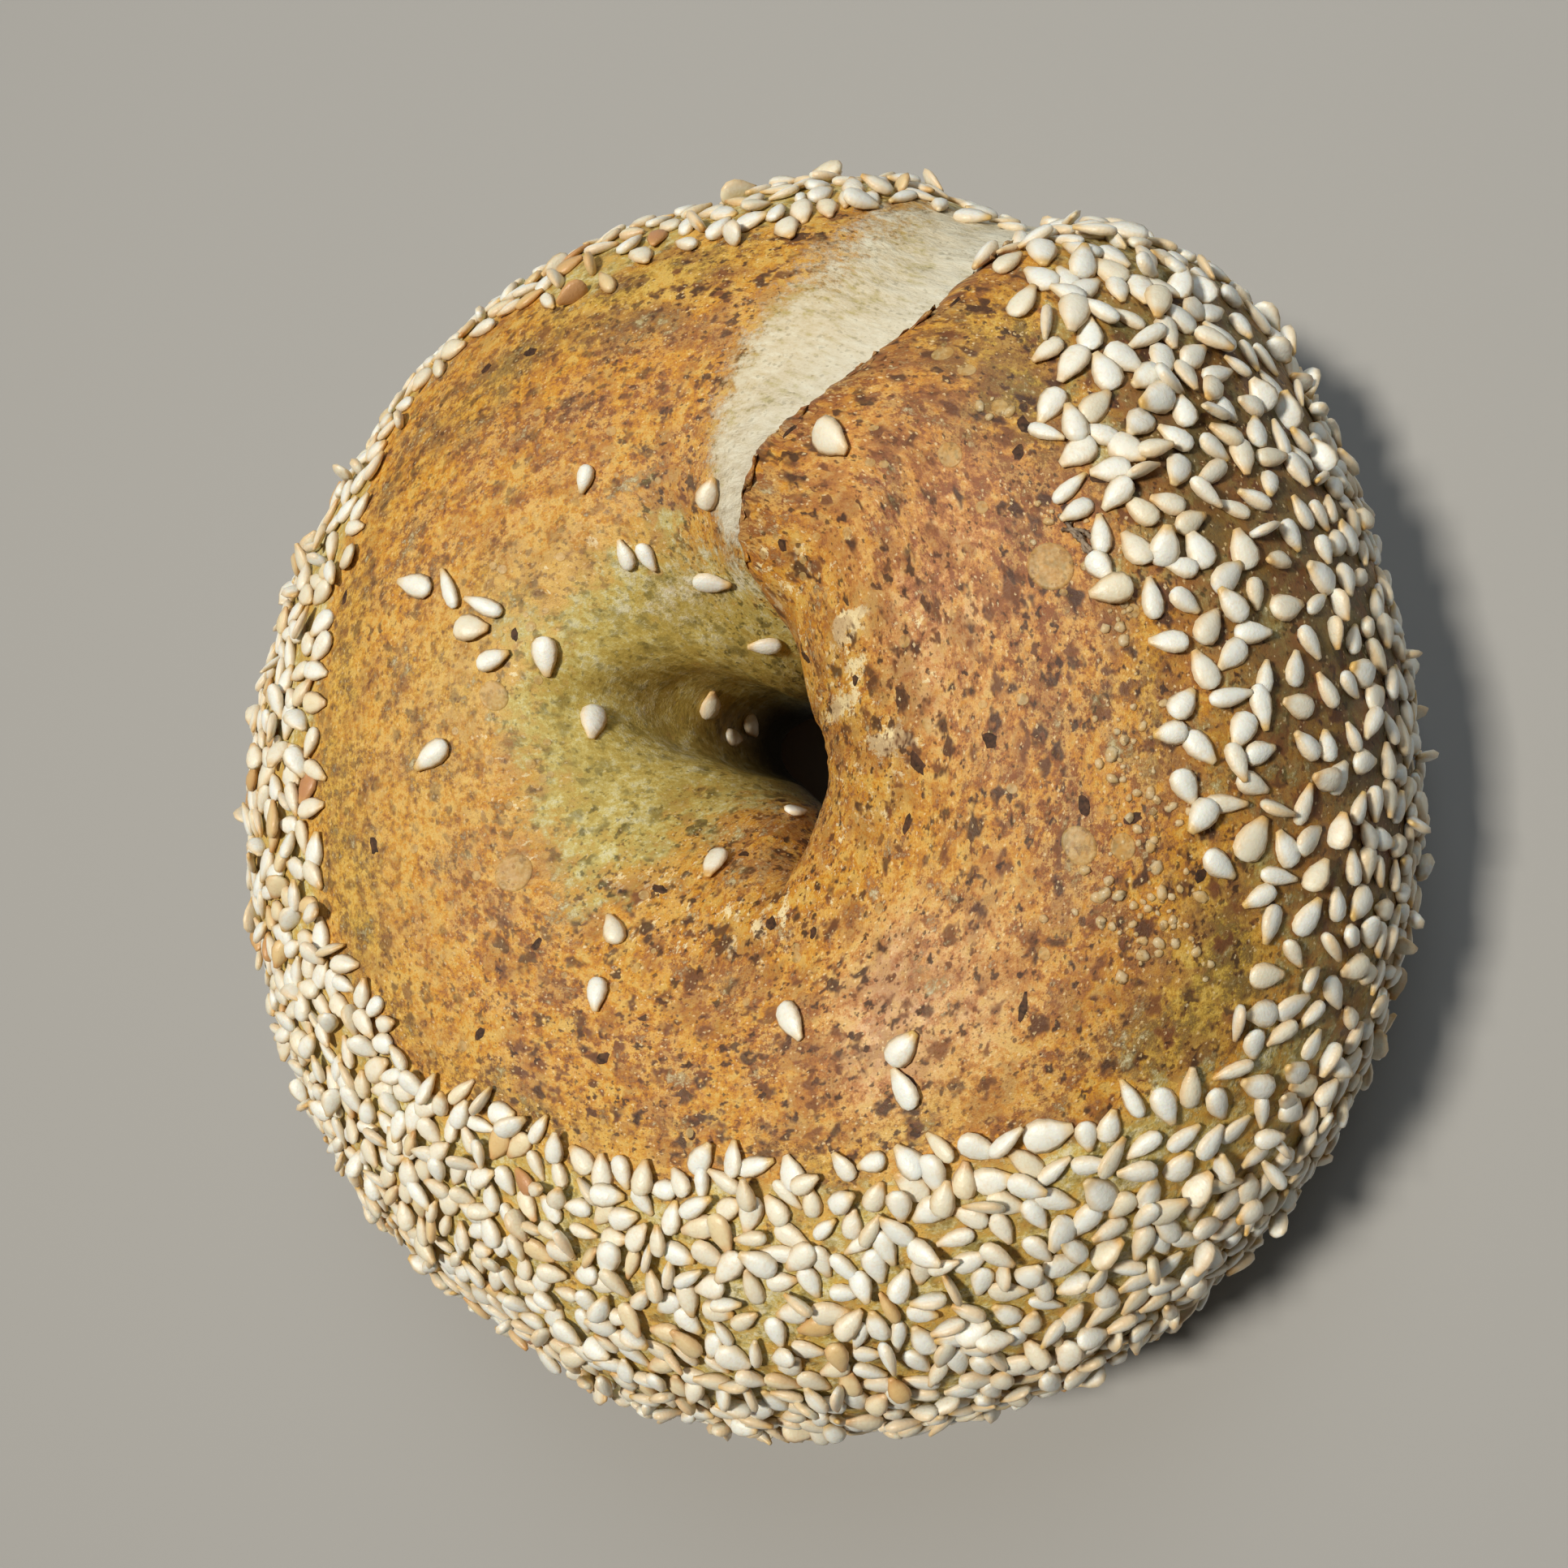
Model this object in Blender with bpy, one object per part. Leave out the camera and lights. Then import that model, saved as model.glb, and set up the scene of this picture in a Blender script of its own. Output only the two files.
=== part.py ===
"""A hand-rolled bread ring with sesame seeds, modelled as one closed solid.

The dough is a rope laid round a small hole, with its blunt end lapped over its tail.
A point of its skin has two angles: one round the ring, counted from +X, and one
round the rope's section, where 0 faces out, 90 up, 180 the hole and 270 down.
"""
import math
import random

import bmesh
import bpy
from mathutils import Matrix, Vector
from mathutils.bvhtree import BVHTree
import numpy as np

# The ring, in metres. The rope's section is fuller below than above.
RING_RADIUS = 0.0521
RING_CENTRE = (0.0003, 0.0)
RING_HEIGHT = 0.0396
BELLY_SHARE = 0.46
TOP_FULLNESS = 2.15
BASE_FULLNESS = 2.7
BASE_SINK = 0.0006
SMALL_TURN = 0.05

# The hole is narrow and lies off centre. Each swell is (angle, extra radius, width in degrees).
HOLE_CENTRE = (0.0063, 0.0022)
THROAT_RADIUS = 0.0043
THROAT_SWELLS = ((160, 0.0020, 22), (-42, 0.0009, 26), (62, 0.0012, 22), (5, 0.0006, 30))

# Unevenness of the rope. Each wave is (waves round the ring, height, phase in degrees).
EDGE_WAVES = ((2, 0.0003, -51), (3, 0.0003, 141), (4, 0.00025, 189))
CREST_WAVES = ((2, 0.0005, -15),)
EDGE_SWELLS = (
    (43, 0.0019, 11), (64, -0.0018, 10), (156, -0.0012, 20), (241, -0.0008, 11), (96, -0.0005, 11),
)

# The lapped end: where it lies, how far it steps up, and how it leans round the ring.
LAP_ANGLE = 57.8
LAP_STEP = 0.0026
LAP_ROUND = 0.0050
LAP_OVERHANG = 0.0014
LAP_OVERHANG_WIDTH = 0.0018
LAP_GROOVE = 0.0018
LAP_LEAN = 26.0
LAP_RETREAT = 32.0
LAP_SET_BACK = 3.0
LAP_SPREAD = 30.0
LAP_GROOVE_BEFORE = 0.0090
LAP_GROOVE_BEYOND = 0.0020
LAP_LEAST_RADIUS = 0.006

# Spans of section angle over which the lap's edge leans forward, draws back and returns,
# and over which its step appears and is gone; then spans of turn where it levels out.
LAP_FORWARD_SPAN = (70, 122)
LAP_RETREAT_SPAN = (127, 160)
LAP_RETURN_SPAN = (175, 260)
LAP_APPEARS_SPAN = (15, 80)
LAP_GONE_SPAN = (190, 250)
STEP_LEVELS_SPAN = (25, 130)
GROOVE_LEVELS_SPAN = (60, 150)

# Folds that run out of the hole: angle near it, angle further out, depth, half width,
# and the section angles where the fold fades out and where it is full.
FOLDS = (
    (158, 168, 0.0036, 0.0026, 118, 158),
    (-66, -84, 0.0034, 0.0017, 122, 152),
)
FOLD_BEND_RADII = (0.006, 0.020)
FOLD_LEAST_RADIUS = 0.005
FOLD_SHARPNESS = 1.6
FOLD_CLOSES_SPAN = (175, 240)
FOLD_CLOSED_SHARE = 0.9

# The seeds. They cover the rope's outer side from a wavy edge on top down to the base.
# A station is a share of the length from the middle and a share of the full width.
SEED_LENGTH = 0.0033
SEED_WIDTH = 0.0022
SEED_THICKNESS = 0.0012
SEED_SIDES = 6
SEED_STATIONS = ((-0.30, 0.80), (0.16, 0.86))
SEED_SIZE_SPREAD = 0.12
SEED_SINK = 0.32
SEED_SPACING = 0.0070
SEED_COUNT = 205
SEED_TRIES = 6000
SEED_LOWEST = 0.0040
SEED_EDGE_RADIUS = 0.0415
SEED_EDGE_SWELLS = ((-98, -0.0120, 32), (25, -0.0045, 24), (95, 0.0035, 30))
SEEDED_SPAN = (-75.0, 150.0)
LOOSE_SHARE = 0.006
THROAT_CLEARANCE = 0.0085
RANDOM_SEED = 11

# The mesh: columns round the ring and rows round the section, closer where the form turns.
COLUMNS = 82
ROWS = 28
COLUMN_CROWDS = ((57.8, 2.6, 9), (161, 1.1, 24), (-72, 1.1, 20))
ROW_CROWDS = ((135, 0.9, 30),)

CRUST_COLOUR = (0.45, 0.21, 0.07, 1.0)
CRUST_ROUGHNESS = 0.55
SHARP_ANGLE = 50.0


def clear_scene():
    """Remove whatever the open file holds."""
    for thing in list(bpy.data.objects):
        bpy.data.objects.remove(thing, do_unlink=True)


def wrap(angle):
    """Bring an angle in degrees between -180 and 180."""
    return (angle + 180.0) % 360.0 - 180.0


def swells(angle, table):
    """Sum of smooth bumps, each given as (angle, height, width)."""
    return sum(height * np.exp(-(wrap(angle - centre) / width) ** 2) for centre, height, width in table)


def waves(angle, table):
    """Sum of cosine waves, each given as (count round the ring, height, phase)."""
    return sum(height * np.cos(np.radians(count * angle - phase)) for count, height, phase in table)


def ramp(value, low, high):
    """Rise smoothly from 0 at low to 1 at high."""
    share = np.clip((value - low) / (high - low), 0.0, 1.0)
    return share * share * (3.0 - 2.0 * share)


def rounded(part, fullness):
    """One coordinate of a superellipse, with its sign kept."""
    return np.sign(part) * np.abs(part) ** (2.0 / fullness)


def plain_ring(around, section):
    """Points of the ring before its end is lapped and folded."""
    turn = np.radians(around)
    out = np.stack([np.cos(turn), np.sin(turn)], axis=-1)
    hole = np.array(HOLE_CENTRE)
    offset = hole - np.array(RING_CENTRE)
    radius = RING_RADIUS + waves(around, EDGE_WAVES) + swells(around, EDGE_SWELLS)
    along = (out * offset).sum(axis=-1)
    reach = np.sqrt(along ** 2 + radius ** 2 - (offset ** 2).sum()) - along
    throat = THROAT_RADIUS + swells(around, THROAT_SWELLS)
    middle = (reach + throat) / 2.0
    half_width = (reach - throat) / 2.0
    across = np.cos(np.radians(section))
    rise = np.sin(np.radians(section))
    fullness = np.where(rise >= 0.0, TOP_FULLNESS, BASE_FULLNESS)
    belly = BELLY_SHARE * RING_HEIGHT
    crest = RING_HEIGHT + waves(around, CREST_WAVES)
    half_height = np.where(rise >= 0.0, crest - belly, belly)
    distance = middle + half_width * rounded(across, fullness)
    flat = hole + out * distance[..., None]
    height = belly + half_height * rounded(rise, fullness)
    return np.concatenate([flat, height[..., None]], axis=-1)


def ring_frame(around, section):
    """Unit normal and unit direction round the ring at points of the plain ring."""
    along = plain_ring(around + SMALL_TURN, section) - plain_ring(around - SMALL_TURN, section)
    over = plain_ring(around, section + SMALL_TURN) - plain_ring(around, section - SMALL_TURN)
    normal = np.cross(along, over)
    normal /= np.linalg.norm(normal, axis=-1, keepdims=True)
    along /= np.linalg.norm(along, axis=-1, keepdims=True)
    return normal, along


def lap_lean(section):
    """How far the lap's edge lies round the ring from LAP_ANGLE, in degrees."""
    forward = LAP_LEAN * ramp(section, *LAP_FORWARD_SPAN)
    retreat = LAP_RETREAT * ramp(section, *LAP_RETREAT_SPAN)
    back = (LAP_RETREAT - LAP_LEAN + LAP_SET_BACK) * ramp(section, *LAP_RETURN_SPAN)
    return forward - retreat + back - LAP_SET_BACK


def lap_relief(around, section, radius):
    """Rise of the lapped end and its overhang along the ring."""
    turn = wrap(around - LAP_ANGLE)
    beyond = -np.radians(turn) * np.maximum(radius, LAP_LEAST_RADIUS)
    shown = ramp(section, *LAP_APPEARS_SPAN) * (1.0 - ramp(section, *LAP_GONE_SPAN))
    nose = np.sqrt(1.0 - (1.0 - np.clip(beyond / LAP_ROUND, 0.0, 1.0)) ** 2)
    step = LAP_STEP * nose * (1.0 - ramp(np.abs(turn), *STEP_LEVELS_SPAN))
    before = np.exp(np.minimum(beyond, 0.0) / LAP_GROOVE_BEFORE)
    after = np.exp(-np.maximum(beyond, 0.0) / LAP_GROOVE_BEYOND)
    groove = LAP_GROOVE * before * after * (1.0 - ramp(np.abs(turn), *GROOVE_LEVELS_SPAN))
    bulge = np.exp(-((beyond - LAP_OVERHANG) / LAP_OVERHANG_WIDTH) ** 2) * (beyond > 0.0)
    return shown * (step - groove), shown * LAP_OVERHANG * bulge


def fold_depth(around, section, radius):
    """Depth of the folds that run out of the hole."""
    inner, outer = FOLD_BEND_RADII
    total = np.zeros_like(radius)
    for near, far, depth, half_width, fade, full in FOLDS:
        centre = near + (far - near) * np.clip((radius - inner) / (outer - inner), 0.0, 1.0)
        aside = np.radians(wrap(around - centre)) * np.maximum(radius, FOLD_LEAST_RADIUS)
        strength = ramp(section, fade, full) * (1.0 - FOLD_CLOSED_SHARE * ramp(section, *FOLD_CLOSES_SPAN))
        total = total + depth * strength * np.exp(-np.abs(aside / half_width) ** FOLD_SHARPNESS)
    return total


def dough_surface(around, section):
    """Points of the dough's skin for angles in degrees round the ring and its section."""
    section = np.mod(section, 360.0)
    turned = around + lap_lean(section) * np.exp(-(wrap(around - LAP_ANGLE) / LAP_SPREAD) ** 2)
    points = plain_ring(turned, section)
    normal, along = ring_frame(turned, section)
    radius = np.hypot(points[..., 0] - HOLE_CENTRE[0], points[..., 1] - HOLE_CENTRE[1])
    rise, overhang = lap_relief(around, section, radius)
    rise = rise - fold_depth(around, section, radius)
    points = points + normal * rise[..., None] + along * overhang[..., None]
    points[..., 2] = np.maximum(points[..., 2] - BASE_SINK, 0.0)
    return points


def crowded_angles(count, crowds):
    """Angles round a full turn, closer together near each (angle, strength, width)."""
    fine = np.linspace(0.0, 360.0, 3601)
    weight = np.cumsum(1.0 + swells(fine, crowds))
    weight = (weight - weight[0]) / (weight[-1] - weight[0])
    return np.interp(np.arange(count) / count, weight, fine)


def grid_faces(columns, rows):
    """Quads of a grid that closes on itself both ways."""
    faces = []
    for column in range(columns):
        after = (column + 1) % columns
        for row in range(rows):
            up = (row + 1) % rows
            faces.append((column * rows + row, after * rows + row, after * rows + up, column * rows + up))
    return faces


def crust_material():
    """Toasted crust."""
    material = bpy.data.materials.new("crust")
    material.use_nodes = True
    shader = material.node_tree.nodes["Principled BSDF"]
    shader.inputs["Base Color"].default_value = CRUST_COLOUR
    shader.inputs["Roughness"].default_value = CRUST_ROUGHNESS
    shader.inputs["Metallic"].default_value = 0.0
    return material


def make_dough():
    """The ring of dough, closed and with a flat spot to rest on."""
    around, section = np.meshgrid(
        crowded_angles(COLUMNS, COLUMN_CROWDS), crowded_angles(ROWS, ROW_CROWDS), indexing="ij"
    )
    points = dough_surface(around, section).reshape(-1, 3)
    mesh = bpy.data.meshes.new("bagel")
    mesh.from_pydata(points.tolist(), [], grid_faces(COLUMNS, ROWS))
    shape = bmesh.new()
    shape.from_mesh(mesh)
    bmesh.ops.triangulate(shape, faces=shape.faces[:])
    shape.to_mesh(mesh)
    shape.free()
    mesh.materials.append(crust_material())
    dough = bpy.data.objects.new("bagel", mesh)
    bpy.context.scene.collection.objects.link(dough)
    return dough


def seed_mesh():
    """One sesame seed, a flat drop along X with its tip at +X."""
    sides = SEED_SIDES
    vertices = [(-0.5 * SEED_LENGTH, 0.0, 0.0)]
    for place, fullness in SEED_STATIONS:
        for side in range(sides):
            turn = 2.0 * math.pi * side / sides
            across = 0.5 * SEED_WIDTH * fullness * math.cos(turn)
            up = 0.5 * SEED_THICKNESS * fullness * math.sin(turn)
            vertices.append((place * SEED_LENGTH, across, up))
    vertices.append((0.5 * SEED_LENGTH, 0.0, 0.0))
    faces = []
    last = len(vertices) - 1
    for side in range(sides):
        after = (side + 1) % sides
        faces.append((0, 1 + after, 1 + side))
        faces.append((1 + side, 1 + after, 1 + sides + after, 1 + sides + side))
        faces.append((last, 1 + sides + side, 1 + sides + after))
    mesh = bpy.data.meshes.new("seed")
    mesh.from_pydata(vertices, [], faces)
    return mesh


def seed_edge(angle):
    """Radius where the seeded outer side begins, at an angle round the ring."""
    return SEED_EDGE_RADIUS + swells(angle, SEED_EDGE_SWELLS)


def carries_seed(point, chance):
    """Whether a point of the skin lies where the dough has seeds."""
    x, y, z = point
    if z < SEED_LOWEST or math.hypot(x - HOLE_CENTRE[0], y - HOLE_CENTRE[1]) < THROAT_CLEARANCE:
        return False
    if math.hypot(x, y) > seed_edge(math.degrees(math.atan2(y, x))):
        return True
    return chance < LOOSE_SHARE


def seed_places(dough):
    """Evenly spread places for the seeds on the dough, as (point, normal, size, heading)."""
    draw = random.Random(RANDOM_SEED)
    tree = BVHTree.FromObject(dough, bpy.context.evaluated_depsgraph_get())
    places = []
    for _ in range(SEED_TRIES):
        guess = dough_surface(
            np.array([draw.uniform(0.0, 360.0)]), np.array([draw.uniform(*SEEDED_SPAN)])
        )
        point, normal, _, _ = tree.find_nearest(Vector(guess[0]))
        size = 1.0 + draw.uniform(-SEED_SIZE_SPREAD, SEED_SIZE_SPREAD)
        heading = draw.uniform(0.0, 2.0 * math.pi)
        if not carries_seed(point, draw.random()):
            continue
        if any((point - other[0]).length < SEED_SPACING for other in places):
            continue
        places.append((point, normal, size, heading))
        if len(places) == SEED_COUNT:
            break
    return places


def make_seeds(dough):
    """Every seed as its own object, half sunk in the skin, in one collection."""
    collection = bpy.data.collections.new("seeds")
    bpy.context.scene.collection.children.link(collection)
    mesh = seed_mesh()
    for number, (point, normal, size, heading) in enumerate(seed_places(dough)):
        seed = bpy.data.objects.new(f"seed_{number:03d}", mesh)
        place = point + normal * SEED_THICKNESS * (0.5 - SEED_SINK) * size
        upright = normal.to_track_quat("Z", "Y").to_matrix().to_4x4()
        turn = Matrix.Rotation(heading, 4, "Z")
        seed.matrix_world = Matrix.Translation(place) @ upright @ turn @ Matrix.Scale(size, 4)
        seed.hide_render = True
        seed.display_type = "WIRE"
        collection.objects.link(seed)
    return collection


def fuse(dough, collection):
    """Join a collection's objects to the dough and remove them."""
    union = dough.modifiers.new("fuse", "BOOLEAN")
    union.operation = "UNION"
    union.operand_type = "COLLECTION"
    union.collection = collection
    union.solver = "EXACT"
    graph = bpy.context.evaluated_depsgraph_get()
    fused = bpy.data.meshes.new_from_object(dough.evaluated_get(graph))
    dough.modifiers.clear()
    dough.data = fused
    for seed in list(collection.objects):
        bpy.data.objects.remove(seed, do_unlink=True)
    bpy.data.collections.remove(collection)


def main():
    clear_scene()
    dough = make_dough()
    fuse(dough, make_seeds(dough))
    dough.data.name = "bagel"
    dough.data.shade_smooth()
    dough.data.set_sharp_from_angle(angle=math.radians(SHARP_ANGLE))


if __name__ == "__main__":
    main()
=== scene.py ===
"""Looks of a hand-rolled bread ring: toasted crust, sesame seeds and a plain studio.

A point of the crust has two angles in degrees: one round the ring, counted from +X,
and one round the rope's section, where 0 faces out, 90 up, 180 the hole and 270 down.
"""

import itertools
import math
import random

import bpy
from bpy.props import FloatProperty, FloatVectorProperty, IntProperty, PointerProperty
from bpy.types import Operator, Panel, PropertyGroup
from mathutils import Matrix, Vector, noise
import numpy as np


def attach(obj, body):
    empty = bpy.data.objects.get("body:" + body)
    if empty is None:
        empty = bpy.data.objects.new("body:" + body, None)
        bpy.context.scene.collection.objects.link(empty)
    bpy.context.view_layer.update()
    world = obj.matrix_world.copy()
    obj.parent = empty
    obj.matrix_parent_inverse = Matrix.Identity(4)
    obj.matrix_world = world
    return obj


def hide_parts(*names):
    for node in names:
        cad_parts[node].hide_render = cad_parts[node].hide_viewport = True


bl_info = {
    "name": "Sesame Bread Ring",
    "version": (1, 0, 0),
    "blender": (4, 5, 0),
    "location": "View3D > Sidebar > Bread Ring",
    "description": "Builds the crust, the seeds and the studio of a hand-rolled bread ring",
    "category": "Object",
}

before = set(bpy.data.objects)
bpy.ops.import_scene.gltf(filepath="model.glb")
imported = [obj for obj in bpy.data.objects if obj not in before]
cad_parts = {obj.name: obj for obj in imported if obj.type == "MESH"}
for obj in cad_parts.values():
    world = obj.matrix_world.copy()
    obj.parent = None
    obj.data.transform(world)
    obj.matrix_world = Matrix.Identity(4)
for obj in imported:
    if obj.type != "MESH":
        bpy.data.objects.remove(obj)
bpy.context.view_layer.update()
BODY = "root"
NODE = "bagel"
MM = 0.001
LEAST = 1e-15

# The ring, in metres, as the solid has it.
RING_RADIUS = 0.0521
RING_CENTRE = (0.0003, 0.0)
RING_HEIGHT = 0.0396
BELLY_SHARE = 0.46
TOP_FULLNESS = 2.15
BASE_FULLNESS = 2.7
BASE_SINK = 0.0006
HOLE_CENTRE = (0.0063, 0.0022)
THROAT_RADIUS = 0.0043
# Swells: angle round the ring, height, width. Waves: count round the ring, height, phase.
THROAT_SWELLS = ((160, 0.002, 22), (-42, 0.0009, 26), (62, 0.0012, 22), (5, 0.0006, 30))
EDGE_WAVES = ((2, 0.0003, -51), (3, 0.0003, 141), (4, 0.00025, 189))
CREST_WAVES = ((2, 0.0005, -15),)
EDGE_SWELLS = (
    (43, 0.0019, 11), (64, -0.0018, 10), (156, -0.0012, 20), (241, -0.0008, 11), (96, -0.0005, 11),
)

# Half widths in degrees over which directions on the surface are measured.
SMALL_TURN = 0.05
FRAME_TURN = 0.15

# The lapped end of the rope. Spans are section angles, or angles round the ring from the lap.
LAP_ANGLE = 57.8
LAP_STEP = 0.0026
LAP_ROUND = 0.005
LAP_OVERHANG = 0.0014
LAP_OVERHANG_WIDTH = 0.0018
LAP_GROOVE = 0.0018
LAP_LEAN = 26.0
LAP_RETREAT = 32.0
LAP_SET_BACK = 3.0
LAP_SPREAD = 30.0
LAP_GROOVE_BEFORE = 0.009
LAP_GROOVE_BEYOND = 0.002
LAP_LEAST_RADIUS = 0.006
LAP_FORWARD_SPAN = (70, 122)
LAP_RETREAT_SPAN = (127, 160)
LAP_RETURN_SPAN = (175, 260)
LAP_SHOWN_SPAN = (15, 80, 190, 250)
STEP_LEVELS_SPAN = (25, 130)
GROOVE_LEVELS_SPAN = (60, 150)

# The folds that run out of the hole: angle at the hole and further out, depth, half width, and
# the section angles between which they deepen.
FOLDS = (
    (158, 168, 0.0036, 0.0026, 118, 158),
    (-66, -84, 0.0034, 0.0017, 122, 152),
)
FOLD_BEND_RADII = (0.006, 0.02)
FOLD_LEAST_RADIUS = 0.005
FOLD_SHARPNESS = 1.6
FOLD_CLOSES_SPAN = (175, 240)
FOLD_CLOSED_SHARE = 0.9

# The fine mesh of the crust, closer where there is more to show: angle, strength, width.
CRUST_COLUMNS = 446
CRUST_ROWS = 222
COLUMN_CROWDS = ((57.8, 2.0, 7), (161, 0.4, 24), (-72, 0.4, 20))
ROW_CROWDS = ((92, 1.3, 50),)

# Noise of the crust's relief and of its masks: size of its features in metres, weight, seed.
SWELL_NOISE = ((0.009, 1.0, 1), (0.0042, 0.5, 2), (0.0016, 0.22, 9))
TORN_NOISE = ((0.0009, 1.0, 8), (0.0021, 0.8, 10))
WOBBLE_NOISE = ((0.006, 1.0, 4), (0.0025, 0.5, 5))
TOAST_NOISE = ((0.016, 0.1, 6),)
# Breaks up the darker crust of the east side, which is partly painted shade.
EAST_CRUST_AND_SHADE_NOISE = ((0.008, 0.5, 12),)
# Noise of the strands in the cream, in millimetres of the stretched rope.
STRAND_NOISE = ((1.0, 1.0, 13), (0.5, 0.5, 14))
STRAND_STRETCH = (0.42, 0.42, 1.0)
WRINKLE_HEIGHT = 0.00013
STRAND_HEIGHT = 0.00016
TORN_PLACE = 0.0009
TORN_WIDTH = 0.0013
TORN_REACH = 0.0025
# The unrolled rope keeps its girth down to this radius and narrows slowly within it.
GIRTH_RADIUS = 0.02
GIRTH_POWER = 0.45

# Section angles between which parts of the crust appear, and between which they end. The band's
# bottom has only the first two, as its top changes round the ring.
WRINKLE_SPAN = (108, 135, 175, 230)
TORN_SPAN = (25, 50, 125, 150)
SINGED_SPAN = (40, 60, 130, 150)
CREAM_SPAN = (0, 25, 116, 132)
OLIVE_SPAN = (102, 136, 200, 226)
STRETCHED_SPAN = (98, 124, 165, 195)
# Painted shade: the deep walls of the hole's throat are darkened between these section angles.
PAINTED_THROAT_SHADE_SPAN = (166, 200, 216, 236)
UNDERSIDE_SPAN = (214, 236, 286, 308)
BAND_BOTTOM = (-86.0, -76.0)
# Sides of the ring that differ: angle and half width.
# The east side, whose crust between the seeds is darker, partly as painted shade of that side.
SHADED_EAST_SIDE = (10.0, 40.0)
OLIVE_SIDE = (150.0, 95.0)
PLAIN_SIDE = (165.0, 62.0)
# Distances beyond the lap's edge, in metres: middle and width of the singed lip, span of the chalk.
SINGED_LIP = (0.0012, 0.0016)
CHALK_SPAN = (-0.009, -0.0005)

# Top of the seeded band: angle round the ring, section angle there.
SEED_BAND = (
    (0, 68), (5, 73), (12, 77), (30, 77), (40, 73), (47, 70), (55, 60), (60, 46), (66, 34), (73, 34),
    (77, 48), (82, 60), (96, 60), (105, 65), (110, 71), (115, 60), (121, 55), (140, 61), (148, 70),
    (163, 76), (172, 81), (190, 78), (197, 80), (203, 76), (210, 79), (228, 81), (237, 85), (256, 84),
    (267, 83), (273, 87), (280, 86), (288, 80), (300, 78), (306, 72), (312, 65), (320, 58), (327, 48),
    (333, 45), (338, 51), (343, 60), (348, 65), (352, 71), (356, 68),
)

# Far edge of the pale stretched dough beside the lap: section angle, angle round the ring.
CREAM_EDGE = (
    (0, 66), (24, 70), (45, 74), (58, 75), (69, 78), (78, 81), (85, 82), (95, 81.5), (102, 80.5),
    (109, 79.5), (117, 78), (124, 76), (140, 72),
)

# Zones that differ from the rest: (angle, width, section angle, width, change).
TOAST_AND_SHADE_ZONES = (
    (13, 14, 106, 10, -0.2), (343, 10, 78, 8, 0.26), (97, 13, 90, 8, 0.06), (343, 10, 77, 9, 0.14),
    (102, 13, 88, 10, 0.2), (233, 14, 103, 12, 0.08), (38, 24, 86, 22, 0.26), (20, 22, 92, 20, 0.16),
    (343, 25, 114, 16, -0.11), (350, 18, 84, 14, 0.1), (308, 14, 90, 13, -0.46),
    (330, 14, 66, 12, 0.12), (279, 12, 104, 16, 0.1), (162, 20, 110, 16, -0.34),
    (126, 22, 114, 13, -0.4), (126, 26, 78, 13, 0.2), (94, 14, 73, 11, -0.08),
    # The zone at 5 degrees round the ring and 34 up the section darkens the east side's crust, partly as
    # painted shade of that side.
    (195, 20, 110, 22, -0.12), (224, 18, 88, 12, -0.04), (5, 46, 34, 30, 0.42),
    (350, 14, 77, 6, -0.3), (28, 14, 82, 6, 0.1),
)
ROSY_ZONES = (
    (24, 24, 94, 17, 0.62), (10, 18, 106, 12, 0.4), (310, 16, 91, 13, 1.1), (350, 10, 98, 10, 0.25),
)
PALE_ZONES = (
    (166, 24, 152, 12, 0.25), (119, 18, 132, 11, 0.32), (74, 10, 130, 13, 0.46),
    (98, 16, 130, 13, 0.32), (138, 16, 113, 9, 0.1), (187, 14, 102, 9, 0.06), (318, 12, 88, 12, 0.05),
)
STREAK_ZONES = (
    (2, 3.6, 134, 9, 1.0), (349.5, 3.4, 115, 5.5, 1.15), (19.5, 2.6, 120, 7, 0.85),
    (12, 3, 103, 6, 0.55), (9.8, 2.4, 123, 6, 0.5), (1.8, 2.6, 106, 6, 0.5), (354, 2.2, 104, 5, 0.45),
    (343, 3.5, 108, 5, 0.3), (283, 1.6, 119, 8, 0.6), (291, 1.2, 120, 8, 0.5), (297, 2, 108, 9, 0.3),
    (275, 1.4, 121, 7, 0.4),
)
MOSS_ZONES = (
    (333, 13, 54, 13, 0.7), (354, 9, 66, 8, 0.25), (6, 9, 70, 7, 0.25), (41, 14, 76, 11, 0.62),
    (99, 18, 66, 12, 0.5), (128, 24, 76, 9, 0.42), (202, 22, 84, 9, 0.36), (168, 18, 82, 9, 0.28),
    (186, 24, 104, 16, 0.3), (150, 20, 108, 16, 0.34), (250, 24, 82, 9, 0.4), (292, 20, 78, 8, 0.3),
    (60, 14, 30, 24, 0.6), (225, 18, 128, 14, 0.4), (355, 9, 128, 9, 0.3),
)

# The camera of the photograph, found from the outline and from the size of the seeds.
CAMERA_AZIMUTH = -16.0
CAMERA_ELEVATION = 61.0
CAMERA_DISTANCE = 0.126
CAMERA_TARGET = (0.0029, -0.0001, 0.019)
CAMERA_FIELD = 56.0
SENSOR_WIDTH = 36.0


# ---------------------------------------------------------------- settings


def length_setting(name, description, default, least, most):
    """A length in metres."""
    return FloatProperty(name=name, description=description, default=default, min=least, max=most,
                         unit="LENGTH")


def colour_setting(name, description, *colour):
    """An opaque colour, given by its red, green and blue."""
    return FloatVectorProperty(name=name, description=description, default=(*colour, 1.0),
                               subtype="COLOR", size=4, min=0.0, max=1.0)


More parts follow.
